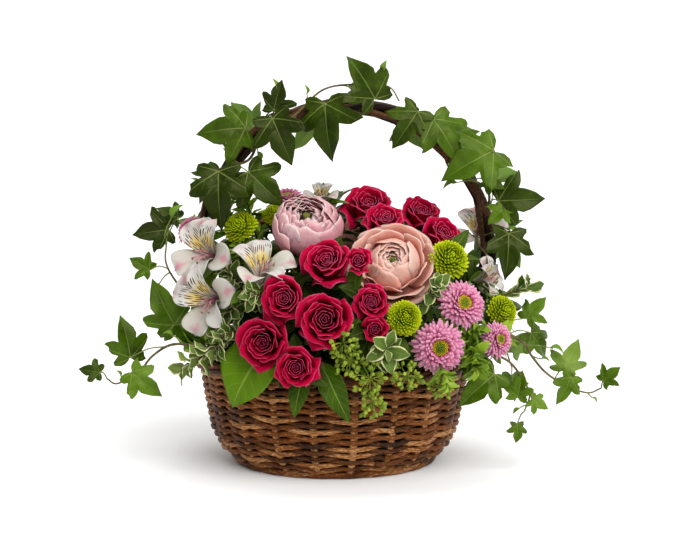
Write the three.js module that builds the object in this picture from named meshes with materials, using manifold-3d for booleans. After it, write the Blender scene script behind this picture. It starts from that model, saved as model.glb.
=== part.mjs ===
// A handled wicker basket filled with a domed arrangement of cut flowers, foliage and trailing ivy.
// Millimetres, +Z up, -Y towards the front, +X to the right of the front.
// The origin is the middle of the basket's underside, where it stands.
import * as THREE from "three";
import { mergeVertices } from "three/addons/utils/BufferGeometryUtils.js";
import Module from "manifold-3d";

const wasm = await Module();
wasm.setup();

// ---------- driving dimensions ----------

const OVAL = 0.9; // depth of the basket over its width
const GAP = 0.3; // clearance between pieces that touch
const RING_SIDES = 32; // facets round the basket
const FOAM_SIDES = 12; // and round the foam, which was cut to shape with a knife

const BASE = { radius: 80, thickness: 5 };
const FOOT = { inner: BASE.radius + GAP, outer: 95, height: 6 };
const WALL_TOP = 88;
const WALL_THICKNESS = 4;
// outer radius of the woven side, and the height where it has it
const WALL_OUTSIDE = [
  [92, FOOT.height + GAP],
  [101, 14],
  [109, 32],
  [115.5, 60],
  [118.5, WALL_TOP],
];
const RIM = { radius: 117.5, halfWidth: 6, bottom: WALL_TOP + GAP, top: 98.5 };

const LINER = { bottom: BASE.thickness + GAP, top: 90, low: 80, high: 90, wall: 1.5 };
const FOAM = { bottom: LINER.bottom + LINER.wall + GAP, side: 78, shoulder: 97, top: 118 };

const HANDLE = { radius: 7.5, hoopRadius: 129, hoopX: 10, hoopZ: 193 };
// the two legs, from the foot of each up to where the round hoop begins
const LEFT_LEG = [[-92.5, 24], [-99.5, 56], [-103, 90], [-106, 116], [-114, 152]];
const RIGHT_LEG = [[92.5, 24], [99.5, 56], [103, 90], [108, 112], [121, 138], [134, 164]];

// Every stem starts in the foam on a small dome round ROOT and leaves it straight outwards.
const ROOT = new THREE.Vector3(0, 0, 50);
const STEM_START = 38; // distance from ROOT of a stem's cut end
const STEM_EXIT = 94; // and of a place outside the foam, up to which it is straight
const STEM_BEND = 104; // and of the place where it starts to bend
const LOWEST_STEM = 31; // degrees above level, so that low stems clear the rim

const LEAF_THICKNESS = 1.2;

// ---------- from three.js geometry to solids and back ----------

function solidOf(geometry) {
  const loose = geometry.index ? geometry.toNonIndexed() : geometry;
  const bare = new THREE.BufferGeometry();
  bare.setAttribute("position", loose.getAttribute("position"));
  const merged = mergeVertices(bare, 1e-3);
  return new wasm.Manifold(
    new wasm.Mesh({
      numProp: 3,
      vertProperties: merged.attributes.position.array,
      triVerts: new Uint32Array(merged.index.array),
    }),
  );
}

function geometryOf(solid) {
  const mesh = solid.getMesh();
  const geometry = new THREE.BufferGeometry();
  geometry.setAttribute("position", new THREE.BufferAttribute(mesh.vertProperties, 3));
  geometry.setIndex(new THREE.BufferAttribute(mesh.triVerts, 1));
  return geometry;
}

const joined = (solids) => solids.reduce((whole, piece) => whole.add(piece));

function largestBody(solid) {
  const bodies = solid.decompose();
  return bodies.reduce((a, b) => (b.volume() > a.volume() ? b : a));
}

// ---------- shapes ----------

const point = (p) => new THREE.Vector3(p[0], p[1], p[2]);

// A turned shape round Z, squashed to the basket's oval where asked. Profile: [radius, z], on the axis or closed.
function turned(profile, sides, oval = 1) {
  const outline = profile.map(([r, z]) => new THREE.Vector2(r, z));
  return new THREE.LatheGeometry(outline, sides).rotateX(Math.PI / 2).scale(1, oval, 1);
}

// A round bar along a smooth line through the points.
function bar(points, radius, sides, steps) {
  const corners = Array.from({ length: sides }, (_, i) => {
    const angle = (2 * Math.PI * i) / sides;
    return new THREE.Vector2(radius * Math.cos(angle), radius * Math.sin(angle));
  });
  return new THREE.ExtrudeGeometry(new THREE.Shape(corners), {
    steps,
    bevelEnabled: false,
    extrudePath: new THREE.CatmullRomCurve3(points, false, "centripetal"),
  });
}

// A flat plate with its outline in units of its length, from `from` to `to`, its face turned towards `face`.
function plate(outline, from, to, face, thickness = LEAF_THICKNESS) {
  const along = to.clone().sub(from);
  const size = along.length();
  along.normalize();
  const up = face.clone().addScaledVector(along, -face.dot(along)).normalize();
  const across = up.clone().cross(along);
  const corners = outline.map(([x, y]) => new THREE.Vector2(x * size, y * size));
  const geometry = new THREE.ExtrudeGeometry(new THREE.Shape(corners), {
    depth: thickness,
    bevelEnabled: false,
  });
  geometry.translate(0, 0, -thickness / 2);
  const frame = new THREE.Matrix4().makeBasis(along, across, up).setPosition(from);
  return geometry.applyMatrix4(frame);
}

// Both halves of an outline given on one side of the midrib.
const bothSides = (half) => [...half, ...half.slice(1, -1).reverse().map(([x, y]) => [x, -y])];

const IVY_LEAF = bothSides([[0, 0], [-0.12, 0.4], [0.12, 0.34], [0.4, 0.62], [0.44, 0.25], [1, 0]]).reverse();
const OVAL_LEAF = bothSides([[0, 0], [0.2, 0.2], [0.55, 0.24], [0.85, 0.13], [1, 0]]).reverse();
const BROAD_LEAF = bothSides([[0, 0], [0.1, 0.27], [0.38, 0.4], [0.7, 0.26], [1, 0]]).reverse();
const LONG_LEAF = bothSides([[0, 0], [0.25, 0.17], [0.55, 0.17], [1, 0]]).reverse();

// ---------- keeping the pieces apart ----------

const nodes = new Map();
const grown = []; // a slightly larger copy of each piece, for the ones after it to stay clear of
const stemHoles = [];
const HOLE_SIDES = 4;

function overlaps(a, b) {
  const p = a.boundingBox();
  const q = b.boundingBox();
  return [0, 1, 2].every((i) => p.min[i] < q.max[i] && q.min[i] < p.max[i]);
}

function keptClear(solid) {
  const near = grown.filter((other) => overlaps(solid, other));
  return near.length ? largestBody(near.reduce((s, other) => s.subtract(other), solid)) : solid;
}

function addNode(group, name, solid, material, origin = new THREE.Vector3()) {
  const geometry = geometryOf(solid).translate(-origin.x, -origin.y, -origin.z);
  const mesh = new THREE.Mesh(geometry, material);
  mesh.name = name;
  mesh.position.copy(origin);
  nodes.set(name, mesh);
  group.add(mesh);
}

// ---------- materials ----------

const finish = (color, roughness = 0.7) => new THREE.MeshStandardMaterial({ color, roughness, metalness: 0 });

const MATERIALS = {
  willow: finish(0x7a4a26, 0.65),
  vine: finish(0x3d241c, 0.75),
  plastic: finish(0x1f3a24, 0.4),
  foam: finish(0x3d6b3f, 0.95),
  rose: finish(0xc8154f, 0.6),
  palePink: finish(0xf2c3cc, 0.6),
  peach: finish(0xf4b5a6, 0.6),
  lime: finish(0x97bd1c, 0.7),
  aster: finish(0xdb79b4, 0.65),
  alstroemeria: finish(0xf2e8e4, 0.5),
  ivy: finish(0x2f6a22, 0.5),
  variegated: finish(0x8c9c68, 0.55),
  broadleaf: finish(0x3f7d1c, 0.4),
  seeds: finish(0x93a844, 0.6),
};

// ---------- the basket ----------

const basket = new THREE.Group();

const base = turned(
  [[0, 0], [BASE.radius, 0], [BASE.radius, BASE.thickness], [0, BASE.thickness]],
  RING_SIDES,
  OVAL,
);
addNode(basket, "base_disc", solidOf(base), MATERIALS.willow);

const foot = turned(
  [
    [FOOT.inner, 0], [FOOT.outer - 2, 0], [FOOT.outer, 2], [FOOT.outer, 4],
    [FOOT.outer - 3, FOOT.height], [FOOT.inner, FOOT.height], [FOOT.inner, 0],
  ],
  RING_SIDES,
  OVAL,
);
addNode(basket, "foot_border", solidOf(foot), MATERIALS.willow);

const wallInside = WALL_OUTSIDE.map(([r, z]) => [r - WALL_THICKNESS, z]).reverse();
const wall = turned([...WALL_OUTSIDE, ...wallInside, WALL_OUTSIDE[0]], RING_SIDES, OVAL);
addNode(basket, "woven_side", solidOf(wall), MATERIALS.willow);

const rimMiddle = (RIM.bottom + RIM.top) / 2;
const rim = turned(
  [
    [RIM.radius - 4, RIM.bottom], [RIM.radius + 4, RIM.bottom],
    [RIM.radius + RIM.halfWidth, rimMiddle], [RIM.radius + 3, RIM.top],
    [RIM.radius - 3, RIM.top], [RIM.radius - RIM.halfWidth, rimMiddle],
    [RIM.radius - 4, RIM.bottom],
  ],
  RING_SIDES,
  OVAL,
);
addNode(basket, "rim_border", solidOf(rim), MATERIALS.willow);

const liner = turned(
  [
    [0, LINER.bottom], [LINER.low, LINER.bottom], [LINER.high, LINER.top],
    [LINER.high - LINER.wall, LINER.top], [LINER.low - LINER.wall, LINER.bottom + LINER.wall],
    [0, LINER.bottom + LINER.wall],
  ],
  RING_SIDES,
  OVAL,
);
addNode(basket, "basket_liner", solidOf(liner), MATERIALS.plastic);

// ---------- the handle: one thick bundle of vines bent into a hoop ----------

const upright = ([x, z]) => new THREE.Vector3(x, 0, z);

// A point of the hoop at an angle from level, and one beside it on a helix round the bundle.
function hoopPoint(degrees) {
  const angle = THREE.MathUtils.degToRad(degrees);
  return new THREE.Vector3(
    HANDLE.hoopX + HANDLE.hoopRadius * Math.cos(angle),
    0,
    HANDLE.hoopZ + HANDLE.hoopRadius * Math.sin(angle),
  );
}

function besideHoop(degrees, roundDegrees, distance) {
  const angle = THREE.MathUtils.degToRad(degrees);
  const round = THREE.MathUtils.degToRad(roundDegrees);
  const outwards = new THREE.Vector3(Math.cos(angle), 0, Math.sin(angle));
  return hoopPoint(degrees)
    .addScaledVector(outwards, distance * Math.cos(round))
    .add(new THREE.Vector3(0, -distance * Math.sin(round), 0));
}

const HOOP_STEP = 20; // degrees between the points of the round part
const hoop = [];
for (let degrees = 180; degrees >= 0; degrees -= HOOP_STEP) hoop.push(hoopPoint(degrees));
const handleLine = [...LEFT_LEG.map(upright), ...hoop, ...RIGHT_LEG.map(upright).reverse()];
const handleSolid = (radius) => solidOf(bar(handleLine, radius, 7, 34));
addNode(basket, "handle_hoop", handleSolid(HANDLE.radius), MATERIALS.vine);
grown.push(handleSolid(HANDLE.radius + 0.5));
grown.push(...[base, foot, wall, rim, liner].map((g) => solidOf(g)));

// ---------- stems ----------

// The way a stem leaves the foam towards a place in the dome.
function rootDirection(place) {
  const away = place.clone().sub(ROOT);
  const level = Math.hypot(away.x, away.y);
  const lowest = level * Math.tan(THREE.MathUtils.degToRad(LOWEST_STEM));
  return new THREE.Vector3(away.x, away.y, Math.max(away.z, lowest)).normalize();
}

// A stem through the given points, which starts straight out of the foam towards `aim`.
function stemLine(points, aim = points[0]) {
  const direction = rootDirection(aim);
  const at = (distance) => ROOT.clone().addScaledVector(direction, distance);
  return [STEM_START, (STEM_START + STEM_EXIT) / 2, STEM_EXIT, STEM_BEND].map(at).concat(points);
}

// The stem as a solid, with its hole in the foam.
function stemSolid(line, radius, sides, steps) {
  const deeper = line[0].clone().lerp(line[1], -0.02);
  const holeRadius = (radius + GAP) / Math.cos(Math.PI / HOLE_SIDES);
  stemHoles.push(solidOf(bar([deeper, line[2]], holeRadius, HOLE_SIDES, 1)));
  return solidOf(bar(line, radius, sides, steps));
}

// ---------- blooms ----------

const blooms = new THREE.Group();

// Outlines of the heads, [radius, height] in units of the head's radius, with the bloom facing +Z.
const HEADS = {
  rose: { profile: [[0, -0.85], [0.4, -0.7], [0.82, -0.1], [0.86, 0.2], [0.6, 0.48], [0, 0.5]], sides: 8 },
  ranunculus: { profile: [[0, -0.8], [0.55, -0.6], [0.86, -0.1], [0.84, 0.3], [0.5, 0.58], [0, 0.6]], sides: 10 },
  button: { profile: [[0, -0.6], [0.6, -0.45], [0.9, 0], [0.7, 0.45], [0, 0.6]], sides: 8 },
  daisy: { profile: [[0, -0.45], [0.35, -0.4], [0.9, 0], [0.8, 0.16], [0, 0.2]], sides: 10 },
  lily: { profile: [[0, -1.0], [0.14, -0.8], [0.45, -0.1], [0.82, 0.27], [0.3, 0.1], [0, -0.2]], sides: 12 },
};

function facing([azimuth, elevation]) {
  const a = THREE.MathUtils.degToRad(azimuth);
  const e = THREE.MathUtils.degToRad(elevation);
  return new THREE.Vector3(Math.sin(a) * Math.cos(e), -Math.cos(a) * Math.cos(e), Math.sin(e));
}

function headSolid(kind, at, face, radius, grow) {
  const { profile, sides } = HEADS[kind];
  const geometry = turned(profile.map(([r, z]) => [r * radius, z * radius]), sides);
  if (kind === "lily") {
    // six petals: every second row of points is pulled in
    const p = geometry.attributes.position;
    for (let i = 0; i < p.count; i++) {
      const turn = Math.round((Math.atan2(p.getY(i), p.getX(i)) / (2 * Math.PI)) * sides);
      const share = turn % 2 ? 0.62 : 1;
      p.setXY(i, p.getX(i) * share, p.getY(i) * share);
    }
  }
  const size = 1 + grow / radius;
  geometry.scale(size, size, size);
  geometry.applyQuaternion(new THREE.Quaternion().setFromUnitVectors(new THREE.Vector3(0, 0, 1), face));
  return solidOf(geometry.translate(at.x, at.y, at.z));
}

// A cut stem with one head, or a spray with several. heads: [place, facing, radius].
function bloomSolid(kind, heads, stemRadius, grow) {
  const solids = heads.flatMap(([place, look, radius]) => {
    const at = point(place);
    const face = facing(look);
    const neck = HEADS[kind].profile[0][1] * radius;
    const bend = at.clone().addScaledVector(face, neck * 1.7);
    const line = stemLine([bend, at.clone().addScaledVector(face, neck * 0.8)], point(heads[0][0]));
    return [headSolid(kind, at, face, radius, grow), stemSolid(line, stemRadius + grow, 4, 5)];
  });
  return joined(solids);
}

function bloom(name, kind, material, stemRadius, heads) {
  addNode(blooms, name, bloomSolid(kind, heads, stemRadius, 0), material, point(heads[0][0]));
  grown.push(bloomSolid(kind, heads, stemRadius, GAP + 0.1));
}

// name: [[place], [azimuth, elevation] it faces, radius], azimuth 0 is the front and 90 the right
const ROSES = {
  rose_top: [[[31, 5, 231], [5, 55], 25], [[34, 62, 212], [165, 45], 20]],
  rose_top_low: [[[45, -33, 222], [8, 48], 19]],
  rose_top_right: [[[78, 0, 225], [22, 50], 20]],
  rose_shoulder: [[[96, -30, 208], [35, 42], 21]],
  rose_spray_centre: [[[-6, -88, 192], [-6, 38], 22], [[21, -104, 195], [4, 24], 12]],
  rose_middle_left: [[[-41, -108, 163], [-14, 16], 21]],
  rose_middle: [[[-7, -122, 148], [0, 12], 23]],
  rose_low_left: [[[-59, -112, 127], [-14, 6], 23]],
  rose_low: [[[-31, -132, 109], [-4, 4], 18]],
  rose_spray_right: [[[32, -112, 161], [6, 16], 16], [[35, -122, 139], [4, 12], 11.5]],
  rose_back_left: [[[-78, 62, 168], [-140, 25], 22], [[-44, 84, 180], [-160, 32], 20]],
  rose_back_right: [[[78, 66, 176], [140, 28], 22], [[92, 74, 136], [134, 12], 20]],
};
const RANUNCULUS = {
  ranunculus_pale: [[[-24, -45, 219], [-8, 62], 32]],
  ranunculus_peach: [[[51, -72, 189], [-2, 34], 37]],
  ranunculus_back: [[[4, 86, 184], [178, 36], 31]],
};
const BUTTONS = {
  button_spray_left: [[[-84, -12, 214], [-35, 45], 18], [[-54, 2, 224], [-20, 60], 12]],
  button_right: [[[100, -69, 192], [24, 34], 19]],
  button_middle: [[[60, -108, 147], [12, 18], 16]],
  button_far_right: [[[148, -50, 143], [45, 22], 16]],
  button_back: [[[48, 98, 148], [158, 14], 17], [[16, 108, 128], [176, 8], 14]],
};
const ASTERS = {
  aster_right: [[[111, -92, 157], [22, 24], 22.5]],
  aster_low: [[[90, -112, 122], [8, 6], 24]],
  aster_far_right: [[[143, -76, 123], [38, 12], 17]],
  aster_top_left: [[[-44, 34, 236], [-20, 72], 19], [[-70, 48, 208], [-130, 50], 17]],
  aster_left: [[[-134, 22, 210], [-60, 40], 15]],
  aster_back: [[[-34, 106, 140], [-164, 12], 22], [[-84, 86, 128], [-136, 10], 18]],
};
const LILIES = {
  alstroemeria_left: [[[-114, -42, 195], [-30, 22], 27], [[-110, -66, 156], [-30, 4], 28]],
  alstroemeria_middle: [[[-62, -82, 186], [14, 58], 26]],
  alstroemeria_right: [[[134, 34, 206], [62, 45], 20], [[136, -34, 172], [60, 20], 16]],
  alstroemeria_back: [[[-12, 12, 240], [-10, 68], 15], [[-8, 50, 224], [-175, 55], 22]],
};

for (const [name, heads] of Object.entries(ROSES)) bloom(name, "rose", MATERIALS.rose, 2.2, heads);
for (const [name, heads] of Object.entries(RANUNCULUS)) {
  const material = name === "ranunculus_pale" ? MATERIALS.palePink : MATERIALS.peach;
  bloom(name, "ranunculus", material, 2.6, heads);
}
for (const [name, heads] of Object.entries(BUTTONS)) bloom(name, "button", MATERIALS.lime, 1.7, heads);
for (const [name, heads] of Object.entries(ASTERS)) bloom(name, "daisy", MATERIALS.aster, 1.7, heads);
for (const [name, heads] of Object.entries(LILIES)) bloom(name, "lily", MATERIALS.alstroemeria, 2, heads);

// ---------- foliage ----------

const foliage = new THREE.Group();
const OUTWARDS_FROM = new THREE.Vector3(0, 0, 90); // leaves turn their faces away from here

const outwardsAt = (place) => place.clone().sub(OUTWARDS_FROM).normalize();

function addFoliage(name, solids, material, origin) {
  const whole = keptClear(joined(solids));
  addNode(foliage, name, whole, material, point(origin));
  grown.push(whole);
}

// Broad leaves on one twig: each leaf is [base, tip, outline].
function leafTwig(name, leaves, material, stemRadius = 1.3) {
  const solids = leaves.flatMap(([from, to, outline]) => {
    const leafBase = point(from);
    const tip = point(to);
    const inLeaf = leafBase.clone().lerp(tip, 0.12);
    const line = stemLine([leafBase, inLeaf], point(leaves[0][0]));
    const face = outwardsAt(leafBase.clone().lerp(tip, 0.5));
    return [
      stemSolid(line, stemRadius, 4, 5),
      solidOf(plate(outline, leafBase, tip, face)),
    ];
  });
  addFoliage(name, solids, material, leaves[0][0]);
}

// A leafy sprig: leaves in a spiral up the part of the stem that shows.
function sprig(name, points, { outline, count, length, spread, material }) {
  const line = stemLine(points.map(point));
  const curve = new THREE.CatmullRomCurve3(line, false, "centripetal");
  const solids = [stemSolid(line, 1.2, 4, 7)];
  for (let i = 0; i < count; i++) {
    const share = 1 - spread * (1 - i / (count - 1));
    const from = curve.getPointAt(share);
    const along = curve.getTangentAt(share);
    const side = new THREE.Vector3(0, 0, 1).cross(along).normalize();
    side.applyAxisAngle(along, THREE.MathUtils.degToRad(137.5 * i));
    const reach = along.clone().multiplyScalar(i === count - 1 ? 1 : 0.45).add(side.clone().multiplyScalar(0.9));
    const to = from.clone().addScaledVector(reach.normalize(), length);
    const face = along.clone().sub(side.clone().multiplyScalar(0.4));
    solids.push(solidOf(plate(outline, from, to, face)));
  }
  addFoliage(name, solids, material, points[0]);
}

// Seed clusters: short branches at the end of a stem, each with a seed head.
function seedBranch(name, clusters) {
  const solids = clusters.flatMap(([centre, radius, seeds]) => {
    const at = point(centre);
    const line = stemLine([at], point(clusters[0][0]));
    const heads = Array.from({ length: seeds }, (_, i) => {
      const level = 1 - (2 * (i + 0.5)) / seeds;
      const turn = THREE.MathUtils.degToRad(137.5 * i);
      const across = Math.sqrt(1 - level * level);
      const way = new THREE.Vector3(across * Math.cos(turn), across * Math.sin(turn), level);
      const seed = at.clone().addScaledVector(way, radius);
      const twig = bar([at, seed], 0.7, 4, 1);
      const head = new THREE.OctahedronGeometry(3.4, 0).translate(seed.x, seed.y, seed.z);
      return joined([solidOf(twig), solidOf(head)]);
    });
    return [stemSolid(line, 1, 4, 5), ...heads];
  });
  addFoliage(name, solids, MATERIALS.seeds, clusters[0][0]);
}

leafTwig("broad_leaf_front", [[[-58, -94, 116], [-88, -99, 76], BROAD_LEAF]], MATERIALS.broadleaf, 1.6);
leafTwig(
  "pointed_leaves_front",
  [
    [[-8, -113, 107], [12, -122, 62], OVAL_LEAF],
    [[-24, -114, 98], [-31, -117, 66], OVAL_LEAF],
    [[14, -112, 106], [46, -114, 113], OVAL_LEAF],
  ],
  MATERIALS.broadleaf,
);
leafTwig("broad_leaf_back_left", [[[-74, 84, 118], [-92, 96, 78], BROAD_LEAF]], MATERIALS.broadleaf, 1.6);
leafTwig("broad_leaf_back_right", [[[82, 86, 116], [98, 92, 76], BROAD_LEAF]], MATERIALS.broadleaf, 1.6);

const PITTOSPORUM = { outline: OVAL_LEAF, count: 6, length: 17, spread: 0.3, material: MATERIALS.variegated };
sprig("pittosporum_left", [[-92, -84, 128], [-112, -92, 112]], PITTOSPORUM);
sprig("pittosporum_middle", [[-56, -92, 166], [-62, -104, 172]], { ...PITTOSPORUM, count: 5, length: 13, spread: 0.16 });
sprig("pittosporum_low", [[40, -104, 122], [46, -126, 121]], { ...PITTOSPORUM, count: 5, length: 18, spread: 0.16 });
sprig("pittosporum_right_middle", [[80, -84, 162], [87, -98, 174]], { ...PITTOSPORUM, count: 5, length: 14, spread: 0.2 });
sprig("pittosporum_right", [[146, -30, 150], [176, -38, 170]], { ...PITTOSPORUM, count: 8 });
sprig("pittosporum_back", [[-6, 106, 112], [-12, 128, 116]], PITTOSPORUM);

const GREENS = { outline: LONG_LEAF, count: 9, length: 24, spread: 0.34, material: MATERIALS.broadleaf };
sprig("aster_greens_right", [[112, -84, 118], [132, -98, 104]], GREENS);
sprig("aster_greens_back", [[-96, 48, 140], [-122, 60, 140]], GREENS);

seedBranch("seeded_eucalyptus_middle", [[[10, -124, 124], 11, 7]]);
seedBranch("seeded_eucalyptus_hanging", [[[35, -125, 91], 11, 5], [[66, -118, 104], 9, 4], [[91, -109, 90], 8, 4]]);

// ---------- ivy ----------

const ivy = new THREE.Group();
const VINE_RADIUS = 1.3;
const PETIOLE_RADIUS = 0.8;

// A vine with lobed leaves. Each leaf is [share of the vine where its stalk starts, base, tip].
function ivyVine(name, line, steps, leaves) {
  const curve = new THREE.CatmullRomCurve3(line, false, "centripetal");
  const solids = [stemSolid(line, VINE_RADIUS, 4, steps)];
  for (const [share, from, to] of leaves) {
    const leafBase = point(from);
    const tip = point(to);
    const start = curve.getPointAt(share);
    const lift = start.clone().lerp(leafBase, 0.5).add(new THREE.Vector3(0, 0, 3));
    const inLeaf = leafBase.clone().lerp(tip, 0.1);
    const face = new THREE.Vector3(0, from[1] > 6 ? 1 : -1, 0.3);
    solids.push(solidOf(bar([start, lift, inLeaf], PETIOLE_RADIUS, 3, 2)));
    solids.push(solidOf(plate(IVY_LEAF, leafBase, tip, face)));
  }
  const whole = keptClear(joined(solids));
  addNode(ivy, name, whole, MATERIALS.ivy, line[2]);
  grown.push(whole);
}

// The two long vines wind up the handle from either side and meet near its top.
const WIND_DISTANCE = HANDLE.radius + VINE_RADIUS + 1.4;
function windUp(fromDegrees, toDegrees, turns) {
  const count = Math.ceil(turns * 5);
  return Array.from({ length: count + 1 }, (_, i) => {
    const share = i / count;
    const degrees = fromDegrees + (toDegrees - fromDegrees) * share;
    return besideHoop(degrees, 90 + 360 * turns * share, WIND_DISTANCE);
  });
}

const leftVine = [
  ...stemLine([[-92, -24, 122], [-114, -16, 156]].map(point)),
  ...windUp(176, 112, 2),
  point([-10, -6, 337]), point([22, -8, 342]), point([48, -12, 340]), point([58, -14, 327]),
];
ivyVine("ivy_left", leftVine, 44, [
  [0.5, [-103, -18, 265], [-102, -28, 216]],
  [0.56, [-77, -13, 264], [-47, -22, 236]],
  [0.62, [-79, -13, 303], [-120, -22, 300]],
  [0.5, [-104, 14, 262], [-124, 20, 236]],
  [0.68, [-54, -12, 319], [-47, -14, 345]],
  [0.7, [-55, -18, 312], [-38, -27, 273]],
  [0.8, [-8, -16, 325], [-4, -27, 277]],
  [0.76, [-16, 14, 306], [-36, 18, 286]],
  [0.64, [-74, 14, 302], [-92, 22, 324]],
  [0.9, [36, -14, 329], [14, -18, 366]],
  [0.86, [22, 14, 334], [44, 18, 352]],
]);

const rightVine = [
  ...stemLine([[96, -26, 122], [128, -16, 160]].map(point)),
  ...windUp(-4, 64, 2),
];
ivyVine("ivy_right", rightVine, 38, [
  [0.97, [74, -15, 318], [53, -24, 287]],
  [0.93, [88, -16, 311], [111, -26, 276]],
  [0.95, [64, 12, 312], [80, 20, 284]],
  [0.8, [142, -16, 283], [97, -26, 260]],
  [0.62, [147, -12, 238], [187, -16, 240]],
  [0.6, [152, -14, 232], [138, -20, 218]],
  [0.52, [156, -16, 209], [154, -28, 171]],
  [0.68, [134, -14, 256], [152, -18, 250]],
  [0.72, [140, 14, 252], [166, 20, 262]],
  [0.5, [152, 14, 200], [170, 20, 176]],
  [0.86, [106, 14, 300], [122, 20, 274]],
]);

ivyVine(
  "ivy_side_left",
  stemLine([[-108, -36, 132], [-134, -30, 158], [-150, -24, 182], [-150, -18, 204]].map(point)),
  16,
  [
    [1.0, [-140, -14, 222], [-158, -18, 232]],
    [0.94, [-148, -20, 213], [-179, -24, 209]],
    [0.86, [-165, -24, 177], [-182, -26, 188]],
    [0.62, [-142, -40, 130], [-160, -48, 169]],
    [0.56, [-142, -26, 134], [-128, -30, 108]],
  ],
);
ivyVine(
  "ivy_trail_left",
  stemLine([[-116, -72, 116], [-142, -62, 116], [-160, -57, 105], [-172, -54, 91], [-192, -50, 79], [-202, -44, 82]].map(point)),
  20,
  [
    [0.68, [-180, -54, 103], [-186, -56, 139]],
    [0.86, [-178, -60, 91], [-153, -64, 71]],
    [1.0, [-209, -40, 87], [-228, -38, 90]],
  ],
);
ivyVine(
  "ivy_trail_right",
  stemLine([[134, -58, 128], [164, -50, 118], [176, -48, 102], [188, -46, 88], [206, -45, 76], [226, -42, 69], [238, -41, 73]].map(point)),
  22,
  [
    [0.52, [172, -28, 134], [188, -28, 153]],
    [0.58, [176, -24, 120], [192, -22, 97]],
    [0.82, [204, -45, 90], [216, -50, 117]],
    [0.86, [210, -47, 84], [198, -52, 61]],
    [1.0, [240, -40, 79], [254, -42, 92]],
  ],
);
ivyVine(
  "ivy_trail_low",
  stemLine([[128, -72, 110], [150, -68, 104], [163, -66, 90], [172, -62, 72], [168, -60, 56]].map(point)),
  18,
  [
    [0.62, [140, -74, 92], [110, -86, 68]],
    [0.84, [161, -68, 70], [165, -66, 93]],
    [0.9, [174, -62, 67], [189, -62, 59]],
    [1.0, [162, -58, 44], [162, -60, 28]],
  ],
);
ivyVine(
  "ivy_back",
  stemLine([[118, 64, 116], [142, 72, 112], [160, 70, 92], [168, 66, 72]].map(point)),
  16,
  [
    [0.66, [138, 78, 126], [152, 84, 152]],
    [0.8, [150, 82, 96], [134, 94, 72]],
    [0.9, [170, 76, 84], [188, 74, 104]],
    [1.0, [168, 66, 64], [172, 68, 40]],
  ],
);

// ---------- the foam, with a hole for every stem ----------

const foamBlock = solidOf(
  turned(
    [
      [0, FOAM.bottom], [FOAM.side - 3, FOAM.bottom], [FOAM.side, LINER.top - 2],
      [FOAM.side - 2, FOAM.shoulder], [FOAM.side - 18, FOAM.top], [0, FOAM.top],
    ],
    FOAM_SIDES,
    OVAL,
  ),
);
const foam = stemHoles.reduce((block, hole) => block.subtract(hole), foamBlock);
addNode(basket, "floral_foam", largestBody(foam), MATERIALS.foam);

// ---------- assembly ----------

const arrangement = new THREE.Group();
arrangement.add(basket, blooms, foliage, ivy);

export default arrangement;
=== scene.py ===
import math
import random

import bpy
import numpy as np
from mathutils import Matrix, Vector
from mathutils.bvhtree import BVHTree


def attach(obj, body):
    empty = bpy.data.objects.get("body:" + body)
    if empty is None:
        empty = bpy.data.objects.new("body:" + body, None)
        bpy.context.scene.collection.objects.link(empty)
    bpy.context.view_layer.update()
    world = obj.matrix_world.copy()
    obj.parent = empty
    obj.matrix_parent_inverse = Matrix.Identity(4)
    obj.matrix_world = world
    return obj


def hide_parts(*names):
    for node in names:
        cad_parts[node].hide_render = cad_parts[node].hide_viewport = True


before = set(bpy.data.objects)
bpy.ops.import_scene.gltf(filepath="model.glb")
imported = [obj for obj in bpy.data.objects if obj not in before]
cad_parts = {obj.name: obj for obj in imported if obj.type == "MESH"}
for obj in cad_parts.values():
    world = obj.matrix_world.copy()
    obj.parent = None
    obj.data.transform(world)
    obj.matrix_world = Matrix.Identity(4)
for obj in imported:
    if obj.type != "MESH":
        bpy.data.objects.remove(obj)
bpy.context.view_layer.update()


# ---------------------------------------------------------------------------------------------------
# The base. A flat oval of willow: sticks laid crosswise, and thin rods wound round and round over and
# under them. It lies at the bottom of the basket and carries the liner.

MM = 0.001
DEPTH_SHARE = 0.9  # the basket is an oval, this much as deep as it is wide
BASE_REACH = 79
BASE_RODS = 15
BASE_STICKS = 20
chance = random.Random(7)


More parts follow.
